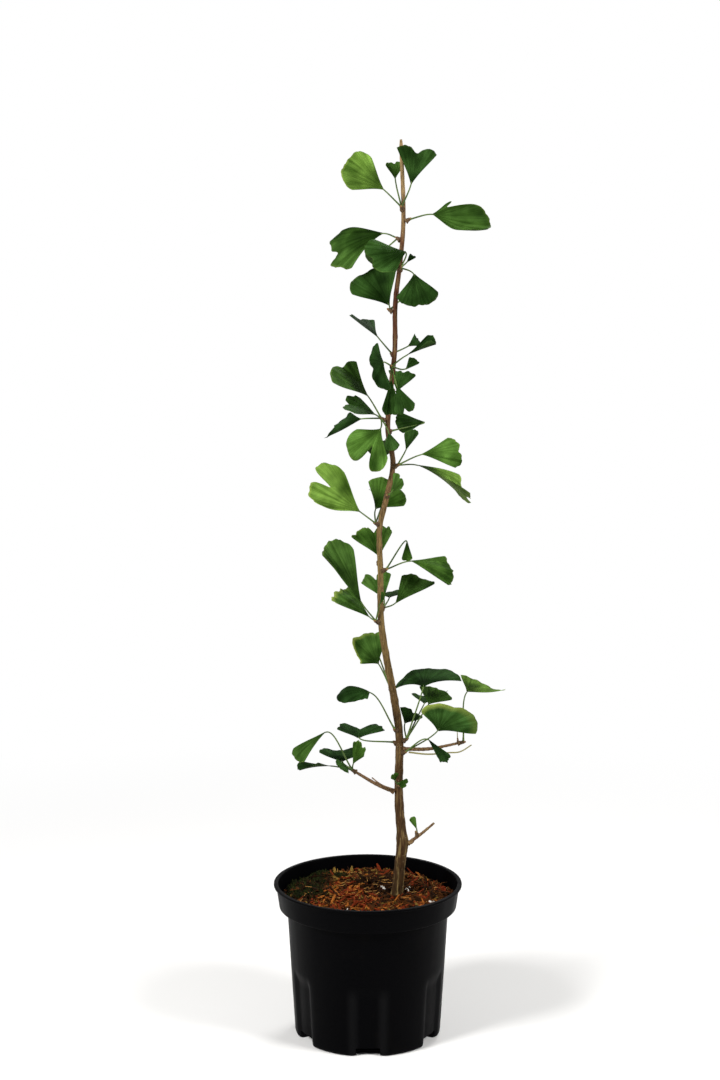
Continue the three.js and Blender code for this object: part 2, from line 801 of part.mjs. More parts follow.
Object.entries(sprays).forEach(([name, spray], index) => {
  addPart(name, makeSpray(spray, index + 1, Object.values(limbs)), leafGreen);
});

export default ginkgo;
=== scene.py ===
# %% [markdown]
# # A young ginkgo in a nursery pot
#
# A ginkgo that was sown a year or two ago is a thin, slightly crooked stem. Fan-shaped leaves stand
# on long stalks in small bunches, each bunch on a stub of wood called a spur. This script dresses
# the plain solids of such a tree: it makes the pot, the potting mix, the bark, the spurs and the
# leaves again as fine meshes, in the same places, and gives each one a material.
#
# Lengths in the tables are millimetres and angles are degrees. A bearing turns from the right (0)
# to the back (90), to the left (180) and to the front (270), and a rise is the angle above the
# level. Blender works in metres, so the function that makes each piece does that change.

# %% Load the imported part
import math

import bpy
import numpy as np
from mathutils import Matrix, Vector, noise


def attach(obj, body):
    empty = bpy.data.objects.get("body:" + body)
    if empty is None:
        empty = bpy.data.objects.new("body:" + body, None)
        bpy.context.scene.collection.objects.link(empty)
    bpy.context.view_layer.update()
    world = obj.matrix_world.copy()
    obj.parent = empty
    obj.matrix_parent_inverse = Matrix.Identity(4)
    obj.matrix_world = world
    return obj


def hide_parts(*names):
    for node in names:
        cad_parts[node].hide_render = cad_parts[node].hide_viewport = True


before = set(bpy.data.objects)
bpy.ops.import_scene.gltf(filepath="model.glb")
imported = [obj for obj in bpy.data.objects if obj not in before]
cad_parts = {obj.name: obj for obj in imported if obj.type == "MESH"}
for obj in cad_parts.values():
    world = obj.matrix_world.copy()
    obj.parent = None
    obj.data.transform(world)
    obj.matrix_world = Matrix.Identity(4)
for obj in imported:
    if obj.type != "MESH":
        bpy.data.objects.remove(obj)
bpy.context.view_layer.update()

# %% [markdown]
# ## Three small tools for materials
#
# Colours are easiest to pick as the sRGB hex values that a paint program shows, but Blender's
# shaders want linear light, so one function converts them. Materials are built from nodes. Clicking
# them together by hand is fine for one material, but code can be read and repeated: one function
# adds any node, sets what it is told, and links what it is handed.

# %% Colours and nodes
def linear(hex_colour):
    """The linear red, green, blue and alpha of an sRGB colour such as "#3f6b2c"."""
    channels = [int(hex_colour[i:i + 2], 16) / 255 for i in (1, 3, 5)]
    light = [c / 12.92 if c <= 0.04045 else ((c + 0.055) / 1.055) ** 2.4 for c in channels]
    return (*light, 1.0)


def add(tree, kind, links=None, stops=None, **settings):
    """Adds a shader node. links gives inputs a value or another node's output, and stops are
    the places and colours of a ramp."""
    made = tree.nodes.new("ShaderNode" + kind)
    for name, value in settings.items():
        setattr(made, name, value)
    for name, value in (links or {}).items():
        if isinstance(value, bpy.types.NodeSocket):
            tree.links.new(value, made.inputs[name])
        else:
            made.inputs[name].default_value = value
    if stops:
        ramp = made.color_ramp
        for place, colour in stops[2:]:
            ramp.elements.new(place)
        for element, (place, colour) in zip(ramp.elements, sorted(stops)):
            element.position = place
            element.color = linear(colour)
    return made


def new_material(name):
    """An empty material and its node tree."""
    made = bpy.data.materials.new(name)
    made.use_nodes = True
    made.node_tree.nodes.clear()
    return made, made.node_tree


print("middle grey in linear light:", round(linear("#808080")[0], 3))

# %% [markdown]
# ## Camera, light and floor
#
# A plant like this is best shown against white, in soft light. The camera stands 1.8 m away at the
# height of the crown's middle and looks down by 7 degrees. The world is a white wall with a dim
# ceiling, and the wall is dimmer in front of the plant than behind it: an evenly white world would
# lay a grey veil of reflections on every leaf and hide the flutes of the pot. A lamp on each side
# in front and a weaker one behind give the leaves a bright and a dark side. The floor is as pale
# as white card and fades into the white of the wall, which is white all round at the level of the
# horizon, so that no hard line cuts through the crown from any side.

# %% Camera
CAMERA_PLACE = (-0.00787, -1.79059, 0.72505)
CAMERA_LENS = 60.83
CAMERA_DIP = 7.059  # how far it looks down
camera_data = bpy.data.cameras.new("camera")
camera_data.lens = CAMERA_LENS
camera = bpy.data.objects.new("camera", camera_data)
bpy.context.scene.collection.objects.link(camera)
camera.location = CAMERA_PLACE
camera.rotation_euler = (math.radians(90 - CAMERA_DIP), 0, 0)
bpy.context.scene.camera = camera
print("camera at", CAMERA_PLACE, "with a lens of", CAMERA_LENS, "mm")

# %% World
# A direction's Z says how far up it points and its Y how far to the back, both from -1 to 1.
WHITE = "#ffffff"
CEILING_START, CEILING_END, CEILING_LIGHT = 0.17, 0.45, 0.15
FRONT_START, FRONT_END, FRONT_LIGHT = -0.95, -0.2, 0.45
HORIZON_FADE = 0.16
bpy.context.scene.view_settings.view_transform = "Standard"
world = bpy.data.worlds.new("studio")
world.use_nodes = True
world.node_tree.nodes.clear()
ray = add(world.node_tree, "TexCoord")
upward = add(world.node_tree, "SeparateXYZ", {0: ray.outputs["Generated"]})
ceiling = add(world.node_tree, "MapRange", {
    "Value": upward.outputs["Z"], "From Min": CEILING_START, "From Max": CEILING_END,
    "To Min": 1.0, "To Max": CEILING_LIGHT,
}, interpolation_type="SMOOTHSTEP")
front = add(world.node_tree, "MapRange", {
    "Value": upward.outputs["Y"], "From Min": FRONT_START, "From Max": FRONT_END,
    "To Min": FRONT_LIGHT,
}, interpolation_type="SMOOTHSTEP")
above = add(world.node_tree, "MapRange", {
    "Value": upward.outputs["Z"], "From Min": 0.0, "From Max": HORIZON_FADE,
}, interpolation_type="SMOOTHSTEP")
wall = add(world.node_tree, "Mix", {
    0: above.outputs["Result"], 2: 1.0, 3: front.outputs["Result"],
}, data_type="FLOAT")
bright = add(world.node_tree, "Math", {0: ceiling.outputs["Result"], 1: wall.outputs[0]},
             operation="MULTIPLY")
sky = add(world.node_tree, "Background", {"Color": linear(WHITE), "Strength": bright.outputs[0]})
add(world.node_tree, "OutputWorld", {"Surface": sky.outputs[0]})
bpy.context.scene.world = world
print("world:", len(world.node_tree.nodes), "nodes")

# %% Lamps
LAMPS = {  # place in metres and power in watts
    "left lamp": ((-1.4, -1.1, 1.6), 56),
    "right lamp": ((1.5, -0.9, 1.5), 36),
    "back lamp": ((0.6, 1.4, 1.9), 18),
}
LAMP_SIZE = 0.6
LAMP_TARGET = Vector((0, 0, 0.6))
for name, (place, power) in LAMPS.items():
    data = bpy.data.lights.new(name, "AREA")
    data.size = LAMP_SIZE
    data.energy = power
    lamp = bpy.data.objects.new(name, data)
    bpy.context.scene.collection.objects.link(lamp)
    lamp.location = place
    lamp.rotation_euler = (LAMP_TARGET - Vector(place)).to_track_quat("-Z", "Y").to_euler()
    print(f"{name}: {power} W, {(LAMP_TARGET - Vector(place)).length:.2f} m from the crown")

# %% Floor
FLOOR_HALF = 12.0
FLOOR_FADE_START, FLOOR_FADE_END = 0.2, 1.3
floor_mesh = bpy.data.meshes.new("floor")
floor_mesh.from_pydata(
    [(x, y, 0) for y in (-FLOOR_HALF, FLOOR_HALF) for x in (-FLOOR_HALF, FLOOR_HALF)],
    [], [(0, 1, 3, 2)],
)
floor = bpy.data.objects.new("floor", floor_mesh)
bpy.context.scene.collection.objects.link(floor)

floor_paint, tree = new_material("matt pale board")
place = add(tree, "TexCoord")
away = add(tree, "VectorMath", {0: place.outputs["Object"]}, operation="LENGTH")
fade = add(tree, "MapRange", {
    "Value": away.outputs["Value"], "From Min": FLOOR_FADE_START, "From Max": FLOOR_FADE_END,
}, interpolation_type="SMOOTHSTEP")
board = add(tree, "BsdfPrincipled", {"Base Color": linear("#efeeec"), "Roughness": 0.9})
glow = add(tree, "Emission", {"Color": linear(WHITE), "Strength": 1.0})
mixed = add(tree, "MixShader",
            {0: fade.outputs["Result"], 1: board.outputs[0], 2: glow.outputs[0]})
add(tree, "OutputMaterial", {"Surface": mixed.outputs[0]})
floor_mesh.materials.append(floor_paint)
print("floor: white from", FLOOR_FADE_END, "m outwards")

# %% [markdown]
# ## Tools for meshes
#
# Everything on the plant is a tube, a turned wall or a thin sheet, and there are hundreds of them.
# Modifiers on single objects would be slow to set up, so each shape is worked out as an array of
# points with NumPy. Many shapes are then joined into one piece, and each face keeps the number of
# its material.

# %% Joined pieces
MM = 0.001


def joined(shapes):
    """Several (points, faces, material number) shapes as one. Faces are tuples of indices."""
    points, faces, numbers, count = [], [], [], 0
    for shape_points, shape_faces, number in shapes:
        points.append(shape_points)
        for shape_face in shape_faces:
            faces.append([index + count for index in shape_face])
        numbers += number if isinstance(number, list) else [number] * len(shape_faces)
        count += len(shape_points)
    return np.concatenate(points), faces, numbers


def make_piece(name, shapes, materials, replaced=(), smooth=True):
    """A joined piece on the body, from shapes in millimetres."""
    points, faces, numbers = joined(shapes)
    mesh = bpy.data.meshes.new(name)
    mesh.from_pydata((points * MM).tolist(), [], faces)
    for material in materials:
        mesh.materials.append(material)
    mesh.polygons.foreach_set("material_index", numbers)
    mesh.polygons.foreach_set("use_smooth", [smooth] * len(faces))
    mesh.update()
    piece = bpy.data.objects.new(name, mesh)
    bpy.context.scene.collection.objects.link(piece)
    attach(piece, "root")
    if replaced:
        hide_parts(*replaced)
    triangles = sum(len(face) - 2 for face in faces)
    print(f"{name}: {triangles} triangles")
    return piece


# %% Directions, tables and seeded numbers
def direction(bearing, rise):
    """The unit vector of a bearing and a rise."""
    level = math.cos(math.radians(rise))
    return np.array([
        level * math.cos(math.radians(bearing)),
        level * math.sin(math.radians(bearing)),
        math.sin(math.radians(rise)),
    ])


def value_at(table, height):
    """The value at a height, straight between the entries of a table."""
    heights, values = zip(*table)
    return np.interp(height, heights, values)


def seeded(seed):
    """A stream of numbers from 0 to 1 that the plant's solids were also grown from."""
    whole, pace = 0xFFFFFFFF, 0x6D2B79F5
    state = seed
    while True:
        state = (state + pace) & whole
        mixed = ((state ^ (state >> 15)) * (state | 1)) & whole
        mixed ^= (mixed + (mixed ^ (mixed >> 7)) * (mixed | 61)) & whole
        yield (mixed ^ (mixed >> 14)) / (whole + 1)


print("straight to the back:", direction(90, 0).round(3))
print("first seeded number:", round(next(seeded(1)), 4))

# %% Curves
TINY = 1e-4  # points nearer than this are taken to lie this far apart


def through(points, steps):
    """A smooth centripetal curve through points, with a number of steps between each two."""
    points = np.array(points, float)
    points = np.vstack([2 * points[0] - points[1], points, 2 * points[-1] - points[-2]])
    curve = []
    for before, start, end, after in zip(points, points[1:], points[2:], points[3:]):
        gaps = [max(np.linalg.norm(b - a), TINY) ** 0.5
                for a, b in ((before, start), (start, end), (end, after))]
        leave = (start - before) / gaps[0] - (end - before) / (gaps[0] + gaps[1])
        leave = (leave + (end - start) / gaps[1]) * gaps[1]
        arrive = (end - start) / gaps[1] - (after - start) / (gaps[1] + gaps[2])
        arrive = (arrive + (after - end) / gaps[2]) * gaps[1]
        for t in np.arange(steps) / steps:
            curve.append(
                start + leave * t + (3 * (end - start) - 2 * leave - arrive) * t * t
                + (2 * (start - end) + leave + arrive) * t ** 3
            )
    curve.append(points[-2])
    return np.array(curve)


def unit(vectors):
    """Vectors made one long."""
    return vectors / np.linalg.norm(vectors, axis=-1, keepdims=True)


def crosswise(path):
    """Two unit vectors across a path at each of its points, which don't twist on the way."""
    ahead = unit(np.gradient(path, axis=0))
    first = np.cross(ahead[0], (0, 1, 0) if abs(ahead[0][1]) < 0.9 else (1, 0, 0))
    across = [unit(first)]
    for step in ahead[1:]:
        carried = across[-1] - step * np.dot(across[-1], step)
        across.append(unit(carried))
    across = np.array(across)
    return across, np.cross(ahead, across)


arc = through([(0, 0, 0), (10, 0, 5), (20, 0, 0)], 8)
print("points of a test arc:", len(arc), "and its top:", arc[:, 2].max(), "mm")


# %% Tubes and sheets
def tube(path, radii, sides, number=0):
    """A closed round tube along a path. radii holds a radius for each point of the path, or for
    each point and side."""
    path = np.array(path, float)
    across, deep = crosswise(path)
    radii = np.array(radii, float)
    if radii.ndim == 1:
        radii = np.repeat(radii[:, None], sides, axis=1)
    angles = 2 * math.pi * np.arange(sides) / sides
    ring = (across[:, None] * np.cos(angles)[None, :, None]
            + deep[:, None] * np.sin(angles)[None, :, None])
    points = (path[:, None] + ring * radii[:, :, None]).reshape(-1, 3)
    faces = []
    for row in range(len(path) - 1):
        for side in range(sides):
            near, far = row * sides + side, row * sides + (side + 1) % sides
            faces.append((near, far, far + sides, near + sides))
    faces.append(tuple(range(sides))[::-1])
    faces.append(tuple(range(len(points) - sides, len(points))))
    return points, faces, number


def sheet(middle, half, number=0):
    """A thin closed sheet round a grid of middle points, half its thickness thick each way."""
    along_rows = np.gradient(middle, axis=0)
    along_columns = np.gradient(middle, axis=1)
    outward = unit(np.cross(along_rows, along_columns)) * half[:, :, None]
    columns, rows = middle.shape[:2]
    points = np.concatenate([(middle + outward).reshape(-1, 3), (middle - outward).reshape(-1, 3)])
    lower = columns * rows
    top, bottom = [], []
    for column in range(columns - 1):
        for row in range(rows - 1):
            corner = column * rows + row
            quad = (corner, corner + rows, corner + rows + 1, corner + 1)
            top.append(quad)
            bottom.append(tuple(index + lower for index in reversed(quad)))
    ring = [column * rows for column in range(columns)]
    ring += [(columns - 1) * rows + row for row in range(1, rows)]
    ring += [column * rows + rows - 1 for column in range(columns - 2, -1, -1)]
    ring += [row for row in range(rows - 2, 0, -1)]
    edge = [(b, a, a + lower, b + lower) for a, b in zip(ring, ring[1:] + ring[:1])]
    return points, top + bottom + edge, number


print("faces of a tube along the test arc:", len(tube(arc, [1] * len(arc), 8)[1]))

# %% [markdown]
# ## Pot
#
# A nursery pot is injection-moulded from black polypropylene. Liquid plastic is shot into a steel
# mould, so the wall is thin and even, every corner is slightly round, and the pot tapers so that
# it slips off its core. Turning a profile with the Screw modifier would give the plain pot. Here
# the turning is worked out point by point, because the six flutes in the lower wall fade out both
# upwards and sideways. The drain holes are then cut with a Boolean modifier.

# %% Pot sizes
POT_PROFILE = [  # radius, height and how much the corner is rounded
    (10, 0, 0), (73.8, 0, 4), (81.5, 130, 0.8), (89.5, 131, 1), (92.5, 152.5, 0.3),
    (95, 152.9, 0.5), (95, 155, 0.7), (90.7, 155, 0.7), (87.7, 132.8, 1.2), (79.7, 131.8, 1),
    (72.1, 3, 4), (10, 3, 0),
]
POT_SEGMENTS = 300
PROFILE_STEP = 2.5
FLUTES = 6
FLUTE_HALF, FLUTE_SLOPE = 8, 5  # degrees to each side of its middle, and of each of its slopes
FLUTE_DEPTH, FLUTE_TOP, FLUTE_FADE = 3, 74, 16
FLOOR_FLAT, FLOOR_EDGE = 58, 68  # between these radii the flutes begin
DRAIN_WIDTH, DRAIN_HEIGHT, DRAIN_INNER, DRAIN_OUTER = 24, 8, 62, 80
print("pot:", 2 * max(radius for radius, _, _ in POT_PROFILE), "mm across and",
      max(height for _, height, _ in POT_PROFILE), "mm tall")


# %% Pot profile
def smoothstep(value, low, high):
    """0 below low, 1 above high and a smooth rise between them."""
    part = np.clip((value - low) / (high - low), 0, 1)
    return part * part * (3 - 2 * part)


def rounded(profile, step):
    """The points of a profile with its corners rounded and its long stretches divided."""
    corners = np.array([(radius, height) for radius, height, _ in profile], float)
    points = [corners[0]]
    for before, corner, after, (_, _, size) in zip(corners, corners[1:], corners[2:], profile[1:]):
        enter = corner + unit(before - corner) * size
        leave = corner + unit(after - corner) * size
        for t in (0, 0.25, 0.5, 0.75, 1):
            points.append(enter * (1 - t) ** 2 + corner * 2 * t * (1 - t) + leave * t * t)
    points.append(corners[-1])
    dense = [points[0]]
    for start, end in zip(points, points[1:]):
        parts = max(1, math.ceil(np.linalg.norm(end - start) / step))
        dense += [start + (end - start) * part / parts for part in range(1, parts + 1)]
    return np.array(dense)


def turned(radii, heights, segments, number=0):
    """A closed turned shape. radii and heights have one row for each ring."""
    angles = 2 * math.pi * np.arange(segments) / segments
    points = np.stack([radii * np.cos(angles), radii * np.sin(angles), heights], axis=-1)
    faces = []
    for row in range(len(points) - 1):
        for side in range(segments):
            near, far = row * segments + side, row * segments + (side + 1) % segments
            faces.append((near, near + segments, far + segments, far)[::-1])
    faces.append(tuple(range(segments))[::-1])
    last = (len(points) - 1) * segments
    faces.append(tuple(range(last, last + segments)))
    return points.reshape(-1, 3), faces, number


def flute_dip(angle, height):
    """How far a flute draws the wall in, at an angle round the pot and a height."""
    from_front = np.degrees(angle) + 90
    pitch = 360 / FLUTES
    offset = np.abs(from_front - pitch * np.round(from_front / pitch))
    across = smoothstep(FLUTE_HALF + FLUTE_SLOPE - offset, 0, FLUTE_SLOPE)
    return FLUTE_DEPTH * across * smoothstep(FLUTE_TOP - height, 0, FLUTE_FADE)


print("depth of the front flute:", flute_dip(-math.pi / 2, FLUTE_TOP / 2), "mm")

# %% [markdown]
# Polypropylene has an index of refraction near 1.49, and the mould leaves it with a fine, slightly
# satin grain. Carbon black makes it absorb nearly everything, so what shows is sheen, dust and
# dried splashes of mix. The two edges of each flute catch the side lamps, and that is painted on
# as a lighter grey, a painted highlight. All this could be painted on a picture, but a picture
# needs unwrapping and is only as sharp as its pixels. Noise and the angle round the pot give the
# same marks at any size.

# %% Pot plastic
EDGE_PLACE, EDGE_WIDTH = 0.7, 6  # a part of the flute's slope, and degrees
# How many there are in a metre: grain every 0.7 mm, which is drawn coarser than the real 0.1 mm so
# that it shows, streaks 14 mm wide and 170 mm tall, and smears about 26 mm apart.
GRAIN, STREAKS, SMEARS = 1400, (70, 70, 6), 38
polypropylene, tree = new_material("black moulded polypropylene")
place = add(tree, "TexCoord")
grain = add(tree, "TexNoise", {"Vector": place.outputs["Object"], "Scale": GRAIN, "Detail": 2.0})
upright = add(tree, "Mapping", {"Vector": place.outputs["Object"], "Scale": STREAKS})
streaks = add(tree, "TexNoise", {"Vector": upright.outputs[0], "Scale": 1.0, "Detail": 4.0})
smears = add(tree, "TexNoise", {"Vector": place.outputs["Object"], "Scale": SMEARS,
                                "Detail": 8.0, "Roughness": 0.65})
dust = add(tree, "MapRange", {"Value": smears.outputs[0], "From Min": 0.55, "From Max": 0.8,
                              "To Max": 0.35})
tone = add(tree, "Mix", {0: dust.outputs[0], 6: linear("#020203"), 7: linear("#0d0b08")},
           data_type="RGBA")
# The two edges of each flute are painted a lighter grey below the flute's top: a painted highlight
# where their slopes catch the side lamps.
turn = add(tree, "SeparateXYZ", {0: place.outputs["Object"]})
bearing = add(tree, "Math", {0: turn.outputs["X"], 1: turn.outputs["Y"]}, operation="ARCTAN2")
from_flute = add(tree, "Math", {0: bearing.outputs[0], 1: math.pi / FLUTES},
                 operation="PINGPONG")
edge_angle = math.radians(FLUTE_HALF + EDGE_PLACE * FLUTE_SLOPE)
from_edge = add(tree, "Math", {0: from_flute.outputs[0], 1: edge_angle}, operation="SUBTRACT")
near_edge = add(tree, "Math", {0: from_edge.outputs[0]}, operation="ABSOLUTE")
edge_highlight = add(tree, "MapRange", {"Value": near_edge.outputs[0], "From Max": math.radians(EDGE_WIDTH),
                                "To Min": 1.0, "To Max": 0.0}, interpolation_type="SMOOTHSTEP")
below_top = add(tree, "MapRange", {
    "Value": turn.outputs["Z"], "From Min": (FLUTE_TOP - FLUTE_FADE) * MM,
    "From Max": FLUTE_TOP * MM, "To Min": 1.0, "To Max": 0.0}, interpolation_type="SMOOTHSTEP")
painted_edge_highlight = add(tree, "Math", {0: edge_highlight.outputs[0], 1: below_top.outputs[0]}, operation="MULTIPLY")
tone = add(tree, "Mix", {0: painted_edge_highlight.outputs[0], 6: tone.outputs[2], 7: linear("#0c0c0d")},
           data_type="RGBA")
sheen = add(tree, "MapRange", {"Value": streaks.outputs[0], "From Min": 0.3, "From Max": 0.7,
                               "To Min": 0.36, "To Max": 0.5})
relief = add(tree, "Bump", {"Height": grain.outputs[0], "Strength": 0.15, "Distance": 0.0002})
skin = add(tree, "BsdfPrincipled", {
    "Base Color": tone.outputs[2], "Roughness": sheen.outputs[0], "IOR": 1.49,
    "Specular IOR Level": 0.024, "Normal": relief.outputs[0],
})
add(tree, "OutputMaterial", {"Surface": skin.outputs[0]})
print("pot plastic:", len(tree.nodes), "nodes")

# %% Pot mesh
profile = rounded(POT_PROFILE, PROFILE_STEP)
pot_angles = 2 * math.pi * np.arange(POT_SEGMENTS) / POT_SEGMENTS
pot_radii = np.repeat(profile[:, :1], POT_SEGMENTS, axis=1)
pot_heights = np.repeat(profile[:, 1:], POT_SEGMENTS, axis=1)
dips = flute_dip(pot_angles, pot_heights) * smoothstep(pot_radii, FLOOR_FLAT, FLOOR_EDGE)
pot_radii = pot_radii - dips
pot = make_piece("pot", [turned(pot_radii, pot_heights, POT_SEGMENTS)], [polypropylene],
                 ["pot"])

# %% [markdown]
# Water leaves through a hole at the foot of each flute, half in the floor and half in the wall.
# Such a hole could be modelled face by face, but a Boolean modifier cuts it exactly, also where
# the wall's slope changes. Its result is kept as a plain mesh, so that nothing has to be worked
# out again later.

# %% Drain holes
SHARP_ANGLE = 40  # faces that meet at more than this keep a crisp edge


def cut_with_boxes(piece, boxes):
    """Cuts boxes out of a piece. Each box is its middle, its size and its turn about upright."""
    cutters = []
    for middle, size, turn in boxes:
        x, y, z = np.array(size) / 2 * MM
        corners = [(i * x, j * y, k * z) for k in (-1, 1) for j in (-1, 1) for i in (-1, 1)]
        sides = [(0, 2, 3, 1), (4, 5, 7, 6), (0, 1, 5, 4), (2, 6, 7, 3), (0, 4, 6, 2), (1, 3, 7, 5)]
        mesh = bpy.data.meshes.new("cutter")
        mesh.from_pydata(corners, [], sides)
        cutter = bpy.data.objects.new("cutter", mesh)
        bpy.context.scene.collection.objects.link(cutter)
        cutter.location = np.array(middle) * MM
        cutter.rotation_euler = (0, 0, turn)
        modifier = piece.modifiers.new("cut", "BOOLEAN")
        modifier.operation = "DIFFERENCE"
        modifier.solver = "EXACT"
        modifier.object = cutter
        cutters.append(cutter)
    evaluated = piece.evaluated_get(bpy.context.evaluated_depsgraph_get())
    cut = bpy.data.meshes.new_from_object(evaluated)
    piece.modifiers.clear()
    piece.data = cut
    for cutter in cutters:
        bpy.data.objects.remove(cutter)
    cut.set_sharp_from_angle(angle=math.radians(SHARP_ANGLE))


reach = DRAIN_OUTER - DRAIN_INNER
drains = []
for index in range(FLUTES):
    turn = -math.pi / 2 + index * 2 * math.pi / FLUTES
    out = DRAIN_INNER + reach / 2
    drains.append(((out * math.cos(turn), out * math.sin(turn), 0),
                   (reach, DRAIN_WIDTH, 2 * DRAIN_HEIGHT), turn))
cut_with_boxes(pot, drains)
print("drain holes:", len(drains), "faces after the cut:", len(pot.data.polygons))

# %% [markdown]
# ## Potting mix
#
# The mix is composted bark, torn into reddish strips about a centimetre long, with coir fibres,
# a few white grains of perlite and a little moss where it stays damp. One lumpy closed bed fills
# the pot, and real strips lie on it. A displaced surface alone would look like mud, while a
# physics drop of thousands of strips would be slow. Laying each strip flat on the bed with a small
# random tilt gives the same look at once.

# %% Bed
BED_EDGE_HEIGHT, BED_DOME, BED_LUMP, BED_LUMP_SPACING, BED_EDGE = 139, 5, 1.2, 17, 89.5
BED_TOP_RADIUS = 87.9
BED_FOOT = [(60, 3.3), (68.7, 14), (78.2, 129), (78.2, 133.9), (87.2, 134.2)]
BED_RINGS, BED_SEGMENTS = 58, 220
STEM_FOOT = (29.4, -6)
LUMP_START_X, LUMP_START_Y, CROSS_LUMPS = 1, -0.6, 0.6
HOLLOWS = [(29, -7, 13, 2.6), (19, 16, 11, 2.6), (-30, 10, 20, 1.2)]  # x, y, radius and depth
CLODS, CLOD_SPACING = 0.9, 6
CRUMBS, CRUMB_SPACING, CRUMB_LAYER = 0.5, 2, 5


def uneven_at(x, y, spacing, layer):
    """Smooth noise from about -1 to 1 with bumps this far apart. Each layer has its own bumps."""
    return noise.noise(Vector((x / spacing, y / spacing, layer)))


def bed_height(x, y):
    """The height of the bed's lumpy top at a place."""
    dome = BED_DOME * (1 - (x * x + y * y) / BED_EDGE ** 2)
    lumps = (math.sin(x / BED_LUMP_SPACING + LUMP_START_X)
             * math.sin(y / BED_LUMP_SPACING + LUMP_START_Y)
             + math.sin((x + y) / (CROSS_LUMPS * BED_LUMP_SPACING)))
    height = BED_EDGE_HEIGHT + dome + BED_LUMP * lumps
    for hollow_x, hollow_y, radius, depth in HOLLOWS:
        height -= depth * math.exp(-((x - hollow_x) ** 2 + (y - hollow_y) ** 2) / radius ** 2)
    return height + CLODS * uneven_at(x, y, CLOD_SPACING, 0)


ring_radii = BED_TOP_RADIUS * (1 - np.arange(BED_RINGS) / BED_RINGS)
radii = np.concatenate([[radius for radius, _ in BED_FOOT], ring_radii])
radii = np.repeat(radii[:, None], BED_SEGMENTS, axis=1)
heights = np.zeros_like(radii)
heights[:len(BED_FOOT)] = np.array([height for _, height in BED_FOOT])[:, None]
bed_angles = 2 * math.pi * np.arange(BED_SEGMENTS) / BED_SEGMENTS
for row in range(len(BED_FOOT), len(radii)):
    for column, angle in enumerate(bed_angles):
        x, y = radii[row, column] * math.cos(angle), radii[row, column] * math.sin(angle)
        crumbs = CRUMBS * uneven_at(x, y, CRUMB_SPACING, CRUMB_LAYER)
        heights[row, column] = bed_height(x, y) + crumbs
print(f"bed: {bed_height(*STEM_FOOT):.1f} mm up at the stem, {bed_height(-60, 0):.1f} at the left")

# %% [markdown]
# Bark, coir, moss and perlite are all rough, crumbly matter with no shine, and each is dark where
# it is damp and light where it is dry. A material apart for each would repeat the same nodes, so
# one function makes them all, from two tones and the size of the patches.

# %% Materials of the mix
def crumbly(name, dark, light, size, roughness=0.9):
    """Rough dry matter that is dark and light in patches of a size in millimetres."""
    made, tree = new_material(name)
    place = add(tree, "TexCoord")
    patches = add(tree, "TexNoise", {"Vector": place.outputs["Object"], "Scale": 1000 / size,
                                     "Detail": 5.0, "Roughness": 0.6})
    tone = add(tree, "ValToRGB", {"Fac": patches.outputs[0]}, stops=[(0.35, dark), (0.7, light)])
    relief = add(tree, "Bump", {"Height": patches.outputs[0], "Strength": 0.6,
                                "Distance": 0.0006})
    skin = add(tree, "BsdfPrincipled", {
        "Base Color": tone.outputs[0], "Roughness": roughness, "Specular IOR Level": 0.06,
        "Normal": relief.outputs[0],
    })
    add(tree, "OutputMaterial", {"Surface": skin.outputs[0]})
    return made


# The fines are dark with damp, and are made darker still as painted shade in the gaps between the
# strips.
peat_with_painted_shade = crumbly("moist composted fines with painted shade", "#0c0602", "#271405", 3)
make_piece("potting_mix", [turned(radii, heights, BED_SEGMENTS)], [peat_with_painted_shade],
           ["potting_mix"])

# %% [markdown]
# Each strip of bark was torn off lengthwise, so it is a thin bar with pointed ends. Some strips are
# dark, some are rust red and a few are dry and nearly orange. The dark ones are damp on the mossy
# left side, and round the stem their dark tone is painted shade of the hollow there. The strips
# are reddest in front and tan at the back. A particle system could scatter copies of one strip,
# but a seeded loop gives each its own size, bend and tone and can leave out what would stand in
# the stem or over the rim.

# %% Tones of the bark strips
STRIP_TONES = {  # two ends of the colour
    # The darkest tone is damp bark on the mossy side and painted shade round the stem.
    "dark bark strips for damp and painted shade": ("#140a03", "#281506"),
    "brown bark strips": ("#2f1a09", "#4b280c"),
    "rust red bark strips": ("#4e1c09", "#702b10"),
    "orange bark strips": ("#6c3a12", "#9c5c24"),
    "dry tan bark strips": ("#4d3a17", "#7a6029"),
}
STRIP_ZONES = [  # x, y and how many of a hundred strips there have each tone
    (-68, 30, (80, 16, 2, 0, 2)), (-64, 0, (76, 18, 4, 0, 2)), (-54, 66, (76, 18, 2, 0, 4)),
    (-22, 58, (16, 36, 12, 6, 30)), (8, 62, (18, 40, 16, 8, 18)),
    (-24, 4, (12, 26, 38, 18, 6)), (-24, -36, (12, 26, 36, 20, 6)), (12, -58, (14, 30, 34, 18, 4)),
    # In the first two zones of this line, round the stem, most strips take the darkest tone as
    # painted shade of the hollow.
    (29, 6, (80, 18, 2, 0, 0)), (14, 22, (78, 20, 2, 0, 0)), (66, 8, (34, 42, 16, 4, 4)),
    (52, 56, (34, 42, 16, 5, 3)), (52, -40, (22, 40, 26, 10, 2)),
]
# Moss takes the place of most strips beyond these two lines, and of fewer near them.
MOSSY_SIDE, MOSSY_FRONT, MOSSY_FADE, MOSSY_SHARE = -52, -16, 12, 0.6
ZONE_BLUR = 5  # how far the border between two zones wanders
rng = np.random.default_rng(7)


def strip_tone(x, y):
    """The number of a random tone for a strip at a place, by the nearest zone."""
    far = [math.hypot(x - zone_x, y - zone_y) + rng.normal(0, ZONE_BLUR)
           for zone_x, zone_y, _ in STRIP_ZONES]
    shares = STRIP_ZONES[int(np.argmin(far))][2]
    return int(rng.choice(len(STRIP_TONES), p=np.array(shares) / 100))


